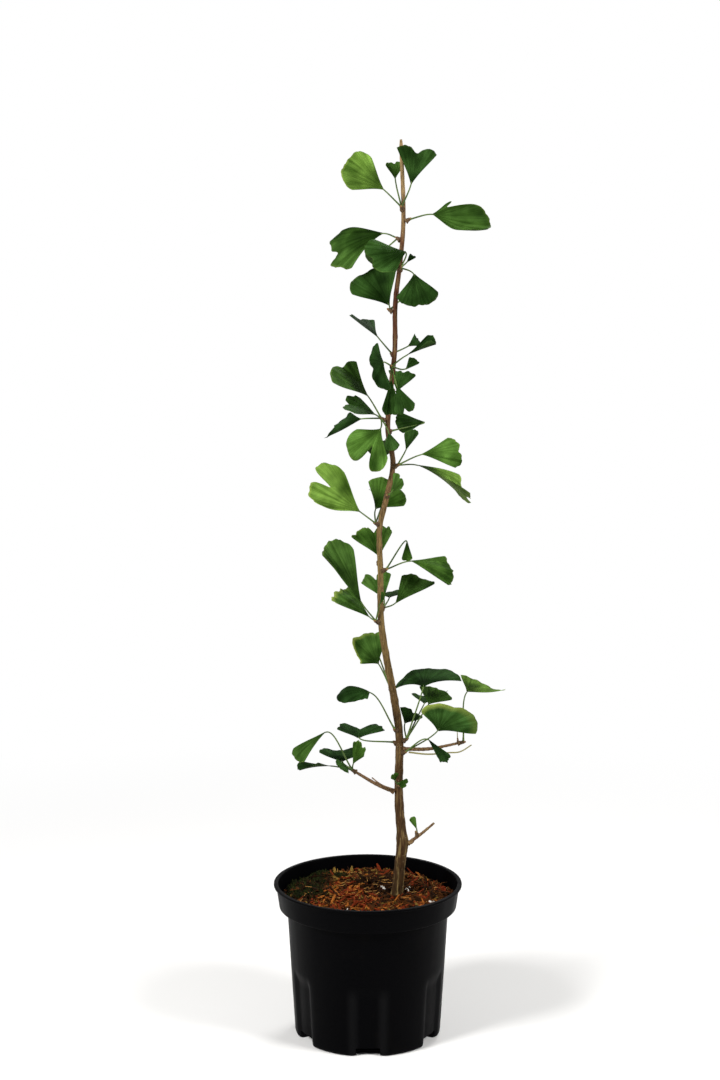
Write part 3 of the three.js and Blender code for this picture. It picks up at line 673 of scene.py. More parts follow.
strip_bark = [crumbly(name, dark, light, 2) for name, (dark, light) in STRIP_TONES.items()]
print("tones:", ", ".join(STRIP_TONES))

# %% One bark strip
STRIP_OUTLINE = ((0, 0.35), (0.3, 1), (0.7, 0.85), (1, 0.25))  # parts of its length and width
STRIP_SECTION = ((-1, -1), (1, -1), (0.8, 1), (-0.8, 1))  # sideways and up, in halves


def strip(start, end, up, width, thickness, bend, number):
    """A torn strip: a thin bar with pointed ends that bends a little on its way."""
    ahead = unit(end - start)
    across = unit(np.cross(ahead, up))
    normal = np.cross(across, ahead)
    points = []
    for along, wide in STRIP_OUTLINE:
        middle = start + (end - start) * along + normal * bend * math.sin(math.pi * along)
        for side, lift in STRIP_SECTION:
            points.append(middle + across * side * wide * width / 2 + normal * lift * thickness / 2)
    faces = []
    for row in range(3):
        for side in range(4):
            near, far = row * 4 + side, row * 4 + (side + 1) % 4
            faces.append((near, far, far + 4, near + 4))
    return np.array(points), faces + [(3, 2, 1, 0), (12, 13, 14, 15)], number


print("corners of a strip:", len(STRIP_OUTLINE) * len(STRIP_SECTION))

# %% Laying the strips
STRIPS = 2500
STRIP_LENGTHS, STRIP_WIDTHS, STRIP_DEPTHS = (5, 15), (1.3, 3.4), (0.6, 1.3)
STRIP_STEEPNESS = 17  # degrees that it may stand up or dip
STRIP_LIFTS, STRIP_PROP = (0.2, 2.4), 0.6  # above the bed, and more of that the steeper it is
STRIP_TILT, STRIP_BEND = 0.35, 0.6
STRIP_LIMIT = 86.5
STEM_CLEAR = 8.5


def random_place(limit):
    """An even random place in a disc."""
    radius, angle = limit * math.sqrt(rng.random()), rng.uniform(0, 2 * math.pi)
    return radius * math.cos(angle), radius * math.sin(angle)


def clear_of_stem(*points):
    """Whether points of the bed stay off the stem's foot."""
    return all(math.hypot(x - STEM_FOOT[0], y - STEM_FOOT[1]) > STEM_CLEAR for x, y, *_ in points)


def lay_strip(x, y, length, width, number):
    """A strip on the bed with its middle at a place, or nothing where it would hit something."""
    bearing, rise = rng.uniform(0, 360), rng.normal(0, STRIP_STEEPNESS)
    ahead = direction(bearing, rise) * length / 2
    lift = rng.uniform(*STRIP_LIFTS) + abs(ahead[2]) * STRIP_PROP
    middle = np.array([x, y, bed_height(x, y) + lift])
    ends = middle - ahead, middle + ahead
    if not clear_of_stem(middle, *ends) or max(math.hypot(*end[:2]) for end in ends) > STRIP_LIMIT:
        return None
    up = unit(np.array([rng.normal(0, STRIP_TILT), rng.normal(0, STRIP_TILT), 1.0]))
    return strip(*ends, up, width, rng.uniform(*STRIP_DEPTHS), rng.normal(0, STRIP_BEND), number)


strips = []
for _ in range(STRIPS):
    x, y = random_place(STRIP_LIMIT)
    mossy = smoothstep(x, MOSSY_SIDE + MOSSY_FADE, MOSSY_SIDE - MOSSY_FADE)
    mossy = mossy * smoothstep(y, MOSSY_FRONT - MOSSY_FADE, MOSSY_FRONT + MOSSY_FADE)
    if rng.random() < MOSSY_SHARE * mossy:
        continue
    laid = lay_strip(x, y, rng.uniform(*STRIP_LENGTHS), rng.uniform(*STRIP_WIDTHS),
                     strip_tone(x, y))
    if laid:
        strips.append(laid)
print("strips laid:", len(strips), "of", STRIPS)
make_piece("bark_strips", strips, strip_bark, ["potting_mix"], smooth=False)

# %% [markdown]
# Coir is the fibre of coconut husks, which holds water in the mix. It is about half a millimetre
# thick, springy and curved, and pokes up a little between the strips. Blender's hair would make
# thousands of such strands quickly, but hair isn't a mesh. A thin tube through three points has
# the same curve and few faces.

# %% Coir fibres
FIBRES = 420
FIBRE_LENGTHS, FIBRE_RADII, FIBRE_RISES = (8, 20), (0.18, 0.34), (-4, 14)
FIBRE_LIFT, FIBRE_INSET = 1, 8  # above the bed, and off the edge
FIBRE_BOW, FIBRE_BOW_RISE = 2.5, 30  # how far it bows out, and how far upwards that points
FIBRE_STEPS, FIBRE_SIDES = 4, 5
fibres = []
while len(fibres) < FIBRES:
    x, y = random_place(STRIP_LIMIT - FIBRE_INSET)
    start = np.array([x, y, bed_height(x, y) + FIBRE_LIFT])
    bearing = rng.uniform(0, 360)
    end = start + direction(bearing, rng.uniform(*FIBRE_RISES)) * rng.uniform(*FIBRE_LENGTHS)
    bow = direction(bearing + 90, FIBRE_BOW_RISE) * rng.normal(0, FIBRE_BOW)
    middle = (start + end) / 2 + bow
    if math.hypot(end[0], end[1]) < STRIP_LIMIT and clear_of_stem(start, middle, end):
        path = through([start, middle, end], FIBRE_STEPS)
        radius = rng.uniform(*FIBRE_RADII)
        fibres.append(tube(path, [radius] * len(path), FIBRE_SIDES, rng.integers(2)))
coir = [crumbly("brown coir", "#4a2c12", "#6f4520", 4),
        crumbly("pale coir", "#8a6130", "#b98a4c", 4)]
make_piece("coir", fibres, coir, ["potting_mix"])

# %% [markdown]
# Moss grows in patches at the left and the back left, where the mix stays wet. Its shoots are only
# a few millimetres long, in tufts with bare mix between them. A bumpy green skin would look like
# felt from this near, so each shoot is a thin sliver, and noise thins them out into tufts.

# %% Moss
MOSS_PATCHES = [  # x, y and how far it spreads
    (-70, 34, 15), (-60, 58, 15), (-60, 14, 14), (-50, 68, 11), (-70, 0, 12), (-50, 36, 13),
    (-28, 56, 9), (-52, -8, 10),
]
MOSS_SHOOTS, MOSS_CROWDING = 420, 1.7
TUFT_SPACING, TUFT_LAYER = 9, 3
TUFT_LIMITS = (-0.5, 0.1)  # a place is bare where its noise is below a draw between these
SHOOT_LENGTHS, SHOOT_RISES, SHOOT_WIDTHS = (2.5, 5), (20, 80), (0.6, 1.4)
SHOOT_THICK, SHOOT_BEND, SHOOT_LIFT = 0.4, 0.3, 0.8
moss = []
for patch_x, patch_y, radius in MOSS_PATCHES:
    for _ in range(MOSS_SHOOTS):
        x = patch_x + rng.normal(0, radius / MOSS_CROWDING)
        y = patch_y + rng.normal(0, radius / MOSS_CROWDING)
        if uneven_at(x, y, TUFT_SPACING, TUFT_LAYER) < rng.uniform(*TUFT_LIMITS):
            continue
        foot = np.array([x, y, bed_height(x, y) + SHOOT_LIFT])
        leaning = direction(rng.uniform(0, 360), rng.uniform(*SHOOT_RISES))
        tip = foot + leaning * rng.uniform(*SHOOT_LENGTHS)
        if max(math.hypot(x, y), math.hypot(tip[0], tip[1])) < STRIP_LIMIT:
            side = direction(rng.uniform(0, 360), 0)
            moss.append(strip(foot, tip, side, rng.uniform(*SHOOT_WIDTHS), SHOOT_THICK, SHOOT_BEND,
                              rng.integers(2)))
moss_green = [crumbly("dark moss", "#0d1108", "#1b210b", 2),
              crumbly("olive moss", "#1b200c", "#2e3312", 2)]
make_piece("moss", moss, moss_green, ["potting_mix"], smooth=False)

# %% [markdown]
# Perlite is volcanic glass that was heated until it puffed up into white crumbs, and the beads are
# slow plant food in a tan resin skin. Both could be spheres, but no crumb is round. A small ball of
# five rings whose points are moved in and out at random is enough at this size.

# %% Perlite and feed beads
PERLITE = [  # x, y and size
    (17, 5.5, 4.6), (15.4, 11, 4.4), (13.6, 16, 3.4), (39.8, 8, 4.2), (42.6, 11.5, 4.2),
    (61.8, -31.8, 3.8), (65.4, -30, 3), (-20, -52, 2),
]
BEADS = [(-4.8, 46, 4), (82, 22, 3.6), (-58, -38, 2.6), (8, -66, 2.4)]
PERLITE_LIFT, PERLITE_ROUGHNESS = 2, 0.14
BEAD_LIFT, BEAD_ROUGHNESS = 1.8, 0.02
GRAIN_ROWS, GRAIN_SIDES, GRAIN_ENDS = 5, 8, 0.94  # the ends are cut off flat beyond this part


def grain_of(middle, size, roughness, number):
    """A rounded lump, rough by a part of its size."""
    points, faces = [], []
    rows, sides = GRAIN_ROWS, GRAIN_SIDES
    for row in range(rows):
        rise = math.pi * (row / (rows - 1) - 0.5) * GRAIN_ENDS
        for side in range(sides):
            turn = 2 * math.pi * side / sides
            radius = size / 2 * (1 + rng.normal(0, roughness))
            points.append(np.array(middle) + radius * np.array([
                math.cos(rise) * math.cos(turn), math.cos(rise) * math.sin(turn), math.sin(rise)]))
    for row in range(rows - 1):
        for side in range(sides):
            near, far = row * sides + side, row * sides + (side + 1) % sides
            faces.append((near, far, far + sides, near + sides))
    faces += [tuple(range(sides))[::-1], tuple(range((rows - 1) * sides, rows * sides))]
    return np.array(points), faces, number


grains = [grain_of((x, y, bed_height(x, y) + PERLITE_LIFT), size, PERLITE_ROUGHNESS, 0)
          for x, y, size in PERLITE]
grains += [grain_of((x, y, bed_height(x, y) + BEAD_LIFT), size, BEAD_ROUGHNESS, 1)
           for x, y, size in BEADS]
white_grain = crumbly("expanded perlite", "#b9b6ae", "#dedbd3", 1.5)
bead_skin = crumbly("resin coated feed beads", "#8d7144", "#b39763", 2, 0.4)
make_piece("grains", grains, [white_grain, bead_skin], ["potting_mix"])

# %% [markdown]
# ## Stem and side shoots
#
# The bark of a ginkgo this young is a thin skin with fine lengthwise cracks, pale pores called
# lenticels, and a swelling under each spur where a leaf once stood. It is grey-brown and rough at
# the foot, where it is oldest, and reddish and smooth near the top. A displacement texture would
# need a very fine mesh and good texture coordinates. A ring of points every millimetre, each moved
# in or out by noise that is drawn out along the stem, needs neither.

# %% Stem tables
TRUNK_BENDS = [  # height, how far right and how far back
    (132, 29, -6), (150, 30, -6), (170, 32, -5), (196, 34.5, -4), (228, 32, -2), (255, 31, 0),
    (306, 31.5, 3), (345, 26, 4), (385, 18.5, 3), (423, 13, 0), (470, 12.5, -3), (515, 11.5, -4),
    (545, 18, -2), (578, 24.6, 2), (612, 19.5, 3), (645, 21.5, 0), (690, 26, -3), (735, 26.5, -2),
    (777, 31.4, 1), (815, 34.2, 3), (892, 31.6, 2),
]
TRUNK_GIRTH = [  # height and radius
    (132, 8.2), (141, 6.9), (150, 6.2), (175, 5.8), (200, 5.4), (250, 4.6), (330, 4.1),
    (400, 3.5), (500, 2.9), (620, 2.7), (815, 2.3), (886, 1.9), (892, 1.2),
]
STEM_BOTTOM, STEM_TOP = 141, 892
BOUGHS = {  # root and tip are radii, and sag is how far the middle hangs down
    "bough_low_left": dict(height=249, bearing=181, rise=28, length=43, sag=1.5, root=2.1,
                           tip=1.4),
    "bough_low_right": dict(height=291.5, bearing=358, rise=7, length=55, sag=2.5, root=2.1,
                            tip=1.3),
    "bough_base_right": dict(height=197, bearing=352, rise=40, length=33, sag=0.8, root=1.9,
                             tip=1.1),
}
CLEARANCE = 0.3  # the gap between the stem and what stands on it
SAG_PLACE = 0.45  # how far along a side shoot it sags most
UP = np.array([0.0, 0.0, 1.0])
BEND_STEPS = 60
stem_path = through([(right, back, height) for height, right, back in TRUNK_BENDS], BEND_STEPS)
print("stem:", len(stem_path), "points up to", round(stem_path[-1][2]), "mm")


# %% Places on the stem and side shoots
def trunk_at(height):
    """The middle of the stem at a height."""
    return np.array([np.interp(height, stem_path[:, 2], stem_path[:, 0]),
                     np.interp(height, stem_path[:, 2], stem_path[:, 1]), height])


def trunk_side(height, outward, root_radius):
    """Where a shoot's root lies when it is just clear of the leaning stem."""
    level = np.array([outward[0], outward[1], 0])
    flat = np.linalg.norm(level)
    level = level / flat
    rise = trunk_at(height + root_radius) - trunk_at(height - root_radius)
    tilt = root_radius * abs(outward[2] + rise @ level / (2 * root_radius) * flat)
    return trunk_at(height) + level * (value_at(TRUNK_GIRTH, height) + CLEARANCE + tilt)


def bough_path(bough, steps=24):
    """The curve of a side shoot, which sags a little under its leaves."""
    outward = direction(bough["bearing"], bough["rise"])
    start = trunk_side(bough["height"], outward, bough["root"])
    end = start + outward * bough["length"]
    middle = start + (end - start) * SAG_PLACE - UP * bough["sag"]
    return through([start, middle, end], steps)


def evenly(path, step):
    """A path with its points a step apart."""
    travelled = np.concatenate([[0], np.cumsum(np.linalg.norm(np.diff(path, axis=0), axis=1))])
    places = np.linspace(0, travelled[-1], max(2, round(travelled[-1] / step)))
    return np.stack([np.interp(places, travelled, path[:, axis]) for axis in range(3)], axis=1)


print("middle of the stem half-way up:", trunk_at((STEM_BOTTOM + STEM_TOP) / 2).round(1))

# %% [markdown]
# Bark can't be one brown, because its age changes all the way up. A colour ramp along the height
# gives the tones from foot to tip, and noise shifts them up and down in blotches. Fine noise that
# is drawn out lengthwise makes cracks, and a broader one the loose pale flakes that are thickest
# near the foot. A painted picture would show its seam round the stem, but noise in space has none.

# %% Bark
# How many there are in a metre, across the stem and along it: blotches about 8 mm apart, cracks
# 0.9 mm wide and 8 mm long, and flakes 2.4 mm wide and 30 mm long.
BLOTCHES, CRACKS, FLAKES = 130, (1100, 1100, 130), (420, 420, 34)


def bark_of(name, stops, rough):
    """Bark whose colour changes with height. stops are parts of the way up the stem."""
    made, tree = new_material(name)
    place = add(tree, "TexCoord")
    split = add(tree, "SeparateXYZ", {0: place.outputs["Object"]})
    blotches = add(tree, "TexNoise", {"Vector": place.outputs["Object"], "Scale": BLOTCHES,
                                      "Detail": 5.0})
    height = add(tree, "MapRange", {"Value": split.outputs["Z"], "From Min": STEM_BOTTOM * MM,
                                    "From Max": STEM_TOP * MM})
    shifted = add(tree, "Math", {0: blotches.outputs[0], 1: 0.1, 2: height.outputs[0]},
                  operation="MULTIPLY_ADD")
    age = add(tree, "ValToRGB", {"Fac": shifted.outputs[0]}, stops=stops)
    lengthwise = add(tree, "Mapping", {"Vector": place.outputs["Object"], "Scale": CRACKS})
    cracks = add(tree, "TexNoise", {"Vector": lengthwise.outputs[0], "Scale": 1.0, "Detail": 4.0,
                                    "Roughness": 0.6})
    shade = add(tree, "ValToRGB", {"Fac": cracks.outputs[0]},
                stops=[(0.36, "#6b6560"), (0.62, WHITE)])
    worn = add(tree, "Mix", {0: 0.75, 6: age.outputs[0], 7: shade.outputs[0]},
               data_type="RGBA", blend_type="MULTIPLY")
    long_streaks = add(tree, "Mapping", {"Vector": place.outputs["Object"], "Scale": FLAKES})
    peeling = add(tree, "TexNoise", {"Vector": long_streaks.outputs[0], "Scale": 1.0,
                                     "Detail": 3.0})
    flakes = add(tree, "MapRange", {"Value": peeling.outputs[0], "From Min": 0.5,
                                    "From Max": 0.62})
    oldest = add(tree, "MapRange", {"Value": height.outputs["Result"], "From Min": 0.04,
                                    "From Max": 0.12, "To Min": 0.6, "To Max": 0.2})
    amount = add(tree, "Math", {0: flakes.outputs[0], 1: oldest.outputs[0]}, operation="MULTIPLY")
    tone = add(tree, "Mix", {0: amount.outputs[0], 6: worn.outputs[2], 7: linear("#957f50")},
               data_type="RGBA")
    relief = add(tree, "Bump", {"Height": cracks.outputs[0], "Strength": rough,
                                "Distance": 0.0005})
    skin = add(tree, "BsdfPrincipled", {
        "Base Color": tone.outputs[2], "Roughness": 0.72, "Specular IOR Level": 0.12,
        "Normal": relief.outputs[0],
    })
    add(tree, "OutputMaterial", {"Surface": skin.outputs[0]})
    return made


stem_bark = bark_of("young ginkgo bark", [
    (0.0, "#1c1108"), (0.04, "#38260f"), (0.1, "#402b14"), (0.24, "#4a331a"), (0.36, "#5f4a28"),
    (0.5, "#756039"), (0.62, "#674d31"), (0.74, "#4c2c19"), (0.9, "#4c2715"), (1.0, "#8f7650"),
], 0.7)
pore_cork = bark_of("pale lenticel cork", [(0.0, "#7d6a52"), (1.0, "#a08a6c")], 0.3)
print("bark:", stem_bark.name, "and", pore_cork.name)

# %% Stem sizes
RING_STEP = 1.0
STEM_SIDES = 44
STEM_FOOT_HEIGHT = 139.6
STEM_AGE = [(141, 1.1), (200, 0.8), (330, 0.5), (620, 0.32), (892, 0.2)]  # height and crack depth
BARK_INSET = 0.4  # the part of the crack depth by which the bark lies inside the girth
# How far apart bumps lie round the stem and along it, and parts of the crack depth.
LUMP_SPACING, LUMPS = (4, 9), 0.5
CRACK_SPACING, CRACK_SHARE, CRACK_SOFTNESS = (0.9, 7), 0.55, 0.7
FLAKE_SPACING, FLAKE_SHARE = (1.6, 1.8), 0.22
KNOB_ROUND, KNOB_FOCUS = 0.35, 3  # the part of a knob that goes all round, and how narrow it is
KNOBS = [  # height, bearing, how far it stands out and how tall it is
    (146, 200, 0.6, 5), (152, 330, 0.4, 4), (164, 100, 0.6, 4), (178, 250, 0.7, 5),
    (190, 20, 0.9, 6), (199, 350, 1.2, 5), (203, 180, 0.8, 4), (219, 300, 0.5, 4),
    (236, 120, 0.5, 4), (268, 60, 0.5, 3), (326, 290, 0.4, 3), (341, 20, 0.5, 3),
    (371, 200, 0.5, 3), (390, 330, 0.45, 3), (407, 150, 0.45, 3), (447, 180, 0.4, 3),
    (461, 260, 0.4, 3), (499, 20, 0.4, 3), (533, 240, 0.45, 3), (562, 130, 0.4, 3),
    (593, 350, 0.4, 3), (636, 300, 0.35, 2.5), (663, 80, 0.35, 2.5), (703, 30, 0.35, 2.5),
    (745, 200, 0.35, 2.5), (782, 320, 0.3, 2.5), (842, 60, 0.3, 2.5), (858, 230, 0.3, 2.5),
    (873, 100, 0.3, 2.5),
]
print("knobs:", len(KNOBS), "and the largest is", max(out for _, _, out, _ in KNOBS), "mm high")


# %% Rough bark
def noise_on(x, y, z, spacing):
    """Smooth noise from about -1 to 1, with bumps this far apart round the stem and along it."""
    return noise.noise(Vector((x / spacing[0], y / spacing[0], z / spacing[1])))


def bark_radii(path, radii, sides, knobs, age):
    """Radii of a stem's points with cracks, lumps and knobs. age is the depth of its cracks."""
    across, deep = crosswise(path)
    angles = 2 * math.pi * np.arange(sides) / sides
    relief = np.empty((len(path), sides))
    for row, (middle, radius) in enumerate(zip(path, radii)):
        z = middle[2] + middle[0]
        for side, angle in enumerate(angles):
            x, y = math.cos(angle) * radius, math.sin(angle) * radius
            lumps = LUMPS * noise_on(x, y, z, LUMP_SPACING)
            cracks = CRACK_SHARE * max(0, noise_on(x, y, z, CRACK_SPACING)) ** CRACK_SOFTNESS
            flakes = FLAKE_SHARE * noise_on(x, y, z, FLAKE_SPACING)
            relief[row, side] = radius + age[row] * (lumps - cracks + flakes)
    for height, bearing, out, tall in knobs:
        facing = direction(bearing, 0)
        turns = across @ facing, deep @ facing
        towards = turns[0][:, None] * np.cos(angles) + turns[1][:, None] * np.sin(angles)
        near = np.exp(-((path[:, 2] - height) / tall) ** 2)
        focus = np.clip(towards, 0, 1) ** KNOB_FOCUS
        relief += out * near[:, None] * (KNOB_ROUND + (1 - KNOB_ROUND) * focus)
    return relief


# %% Stem mesh
stem = evenly(stem_path, RING_STEP)
stem = stem[stem[:, 2] > STEM_FOOT_HEIGHT]
stem_age = value_at(STEM_AGE, stem[:, 2])
stem_girth = value_at(TRUNK_GIRTH, stem[:, 2])
stem_radii = bark_radii(stem, stem_girth - BARK_INSET * stem_age, STEM_SIDES, KNOBS, stem_age)
stem_shapes = [tube(stem, stem_radii, STEM_SIDES)]
print(f"stem: {len(stem)} rings, from {stem_radii[0].mean():.1f} mm in radius "
      f"to {stem_radii[-1].mean():.1f}")

# %% [markdown]
# Lenticels are corky slits that let the stem breathe. They lie across it, a little raised, and are
# most frequent on the lower part. Dots in the bark's colour would be lost in its blotches, so each
# is a low lens of eight sides, set on the bark where a seeded draw puts it.

# %% Lenticels
LENTICELS, LENTICEL_SIDES = 330, 8
LENTICEL_WIDTHS, LENTICEL_HEIGHTS = (0.5, 1.0), (0.22, 0.4)  # half of each
LENTICEL_LEVELS = ((-0.25, 1.0), (0.2, 0.6))  # how far above the bark, and a part of its size
MOST_AT, BARE_TIP = 0.15, 20  # the part of the way up with the most, and rings without any
rng = np.random.default_rng(11)
stem_across, stem_deep = crosswise(stem)
lens_turns = 2 * math.pi * np.arange(LENTICEL_SIDES) / LENTICEL_SIDES
lens_faces = [tuple(range(LENTICEL_SIDES, 2 * LENTICEL_SIDES))]
for near in range(LENTICEL_SIDES):
    far = (near + 1) % LENTICEL_SIDES
    lens_faces.append((near, far, far + LENTICEL_SIDES, near + LENTICEL_SIDES))
lens_faces.append(tuple(range(LENTICEL_SIDES))[::-1])
for _ in range(LENTICELS):
    row = int(rng.triangular(0, len(stem) * MOST_AT, len(stem) - BARE_TIP))
    side = int(rng.integers(STEM_SIDES))
    angle = 2 * math.pi * side / STEM_SIDES
    facing = stem_across[row] * math.cos(angle) + stem_deep[row] * math.sin(angle)
    sideways = -stem_across[row] * math.sin(angle) + stem_deep[row] * math.cos(angle)
    wide, tall = rng.uniform(*LENTICEL_WIDTHS), rng.uniform(*LENTICEL_HEIGHTS)
    points = []
    for level, spread in LENTICEL_LEVELS:
        for turn in lens_turns:
            points.append(stem[row] + facing * (stem_radii[row, side] + level)
                          + sideways * math.cos(turn) * wide * spread
                          + UP * math.sin(turn) * tall * spread)
    stem_shapes.append((np.array(points), lens_faces, 1))
make_piece("stem", stem_shapes, [stem_bark, pore_cork], ["trunk"])

# %% [markdown]
# Side shoots are about as thick as a knitting needle, ringed with faint scars and widest where
# they leave the stem. Thinner twigs leave them here and there, and some are only the bare stalk of
# a leaf that fell. A Blender curve with a bevel would make a smooth pipe, but tubes of rings can
# swell at each scar, and their roots can reach a little way into the stem.

# %% Side shoots
BOUGH_SIDES, BOUGH_STEP = 20, 0.8
BOUGH_SUNK = 1.5  # how far a root reaches into the stem
BOUGH_FLARE = np.array([0.9, 0.6, 0.3, 0.1])  # how much wider each of the first rings is
SCAR_RING, SCAR_PACE, SCAR_GAPS = 0.12, 1.1, 0.4  # height, radians for each ring, and part missing
BOUGH_AGE = 0.4
shoot_bark = bark_of("thin bark of side shoots", [(0.0, "#6f563c"), (1.0, "#7a5a3e")], 0.5)
shoots = []
for bough in BOUGHS.values():
    path = evenly(bough_path(bough), BOUGH_STEP)
    path = np.vstack([path[0] - unit(path[1] - path[0]) * BOUGH_SUNK, path])
    girth = np.linspace(bough["root"], bough["tip"], len(path))
    girth[:len(BOUGH_FLARE)] += BOUGH_FLARE
    scarred = rng.random(len(path)) > SCAR_GAPS
    girth += SCAR_RING * np.sin(np.arange(len(path)) * SCAR_PACE) * scarred
    relief = bark_radii(path, girth, BOUGH_SIDES, [], np.full(len(path), BOUGH_AGE))
    shoots.append(tube(path, relief, BOUGH_SIDES))
print("side shoots:", len(shoots), "with", sum(len(points) for points, _, _ in shoots), "points")

# %% Twigs
TWIG_STEPS, TWIG_SIDES = 8, 8
TWIGS = {  # points along each twig, its radius at the root and at the tip, and its material
    "low left strand": ([(25, -6, 252.5), (14, -7, 257), (4, -4, 263.8)], 0.9, 0.6, 0),
    "base stub": ([(41, -7, 196.5), (44, -8, 197.5), (46, -8, 199.5)], 1.2, 0.9, 0),
    "upright spur": ([(89.5, 1, 297), (90.2, 1, 300), (90, 1, 303)], 1.2, 0.8, 0),
    "hooked stalk": ([(41, -3, 289.5), (60, -7, 288.5), (80.7, -7, 290), (92, -7, 291),
                      (103.7, -5, 297.5)], 0.9, 0.6, 1),
    "bare stalk": ([(90, 1, 302), (89.6, 1, 309), (88.8, 0, 316)], 0.5, 0.35, 1),
}
dry_stalk, tree = new_material("dry leaf stalk")
skin = add(tree, "BsdfPrincipled", {"Base Color": linear("#75703f"), "Roughness": 0.6})
add(tree, "OutputMaterial", {"Surface": skin.outputs[0]})
for points, root, tip, number in TWIGS.values():
    path = through(points, TWIG_STEPS)
    shoots.append(tube(path, np.linspace(root, tip, len(path)), TWIG_SIDES, number))
make_piece("side_shoots", shoots, [shoot_bark, dry_stalk], list(BOUGHS))

# %% [markdown]
# ## Spurs and leaves
#
# A ginkgo leaf is a fan. Its veins fork again and again on the way from the stalk to the edge, and
# the edge is wavy, with a cleft in the middle on many leaves. Each leaf is worked out in the fan's
# own two directions, from side to side and from the foot out to the edge, and is then bent: curl
# lifts the sides and arch lifts the end. The same two directions later carry the veins, so that no
# painted picture is needed. Sculpting sixty leaves by hand would take days, and copies of one leaf
# would look alike.
#
# Each spray sits on one spur. A leaf has a stalk and a blade, each with a bearing, a rise and a
# length. face says which way the upper face looks, and tints names a green for each leaf in turn.
# The greens are partly each leaf's own tone and partly lighter and darker copies that paint how
# much light the leaf catches.
# spread is half the fan's angle. cleft is the depth of its notch, notch how wide that notch is and
# split how far to the right it lies. A positive curl lifts the sides towards the upper face and a
# positive arch lifts the end. lean makes the right side longer, corner rounds both ends of the
# edge, ragged makes the edge more uneven and ruffle makes it wave up and down.

# %% Plain leaf and greens
PLAIN_LEAF = dict(face=(270, 50), spread=48, cleft=0.12, notch=0.14, curl=25, arch=-18,
                  ruffle=0.03, ragged=0.02, corner=0.12, lean=0, split=0)
# The greens run from deep to pale: partly each leaf's own tone, and partly lit and shaded copies,
# painted light and shade for how each leaf faces the lamps.
TINTS = {  # upper face, lower face, how pale the rim is and its width as a part of the leaf
    "deep": ("#3a5a28", "#4c6636", 0.05, 0.015),
    "dark": ("#2c4a21", "#3b532b", 0.03, 0.015),
    "mid": ("#4e7031", "#5c7740", 0.1, 0.015),
    "fresh": ("#5d8338", "#6a8649", 0.2, 0.015),
    "pale": ("#789a43", "#809853", 0.32, 0.015),
    "edged": ("#4e7031", "#5c7740", 0.55, 0.1),
    # A wide pale rim for a leaf whose edge has curled over: partly its pale underside, partly a
    # painted highlight of light from above.
    "rolled": ("#3a5a28", "#4c6636", 0.65, 0.2),
}
print("greens:", ", ".join(TINTS))

# %% Sprays at the top
SPRAYS = {
    "leaves_top": dict(
        tints="pale mid deep",
        height=826, bearing=250, rise=30, length=4,
        leaves=[
            dict(stalk=(203, 41, 24), blade=(202, 36, 46), spread=36, cleft=0, curl=15,
                 face=(270, 25), corner=0.28),
            dict(stalk=(131, 71, 28), blade=(93, 68, 21), spread=30, face=(270, 10)),
            dict(stalk=(326, 62, 23), blade=(324, 78, 39), face=(270, 10), spread=31, cleft=0.2,
                 notch=0.35, corner=0, curl=5, arch=-8),
        ],
    ),
    "leaves_top_right": dict(
        tints="mid",
        height=815, bearing=350, rise=30, length=3,
        leaves=[
            dict(stalk=(350, 13, 23), blade=(10, -14, 57), face=(270, 30), spread=44, cleft=0.6,
                 notch=0.2, lean=0.35, arch=35, split=-0.66, corner=0.55, curl=80),
        ],
    ),
    "leaves_crown_left": dict(
        tints="mid deep",
        height=797, bearing=150, rise=30, length=3,
        leaves=[
            dict(stalk=(145, 19, 17), blade=(169, -12, 62), face=(270, 42), spread=38, arch=-30,
                 curl=-40, ragged=0.05, lean=0.1),
            dict(stalk=(113, -19, 31), blade=(96, -19, 34), face=(90, 60), spread=38),
        ],
    ),
    "leaves_crown_front": dict(
        tints="deep dark deep",
        height=768, bearing=280, rise=30, length=4,
        leaves=[
            dict(stalk=(306, 56, 18), blade=(209, -5, 42), face=(270, 40), spread=46, corner=0.2),
            dict(stalk=(61, 23, 12), blade=(27, 42, 12), spread=22, cleft=0),
            dict(stalk=(327, -19, 16), blade=(287, -60, 35), spread=42, curl=-20, cleft=0.05),
        ],
    ),
    "leaves_high_left": dict(
        tints="deep deep",
        height=728, bearing=170, rise=30, length=3,
        leaves=[
            dict(stalk=(84, 41, 6), blade=(152, 52, 45), face=(270, 30), spread=44, cleft=0,
                 corner=0.15, ragged=0),
            dict(stalk=(53, 27, 38), blade=(80, -3, 33), face=(90, 50), spread=38),
        ],
    ),
    "leaves_high_back": dict(
        tints="dark dark",
        height=686, bearing=120, rise=20, length=3,
        leaves=[
            dict(stalk=(171, 49, 20), blade=(138, 44, 36), face=(335, 40), spread=38, cleft=0.05,
                 corner=0),
            dict(stalk=(29, 20, 18), blade=(20, 30, 22), face=(330, 30), spread=22, arch=-60),
        ],
    ),
    "leaves_high_front": dict(
        tints="dark dark deep deep deep",
        height=674, bearing=250, rise=20, length=3,
        leaves=[
            dict(stalk=(186, 31, 9), blade=(252, -13, 32), face=(330, 10), spread=68, cleft=0.2,
                 ragged=0.04, corner=0.25, lean=-0.1),
            dict(stalk=(356, 37, 17), blade=(344, 24, 33), face=(250, 60), spread=20, curl=125,
                 cleft=0, arch=-5),
            dict(stalk=(348, -15, 14), blade=(20, 43, 16), spread=30, cleft=0),
            dict(stalk=(267, -59, 13), blade=(269, -74, 36), face=(270, 10), spread=17, cleft=0),
            dict(stalk=(289, -51, 22), blade=(314, -63, 30), face=(270, 10), spread=25,
                 cleft=0.15),
        ],
    ),
}
print("sprays so far:", len(SPRAYS))

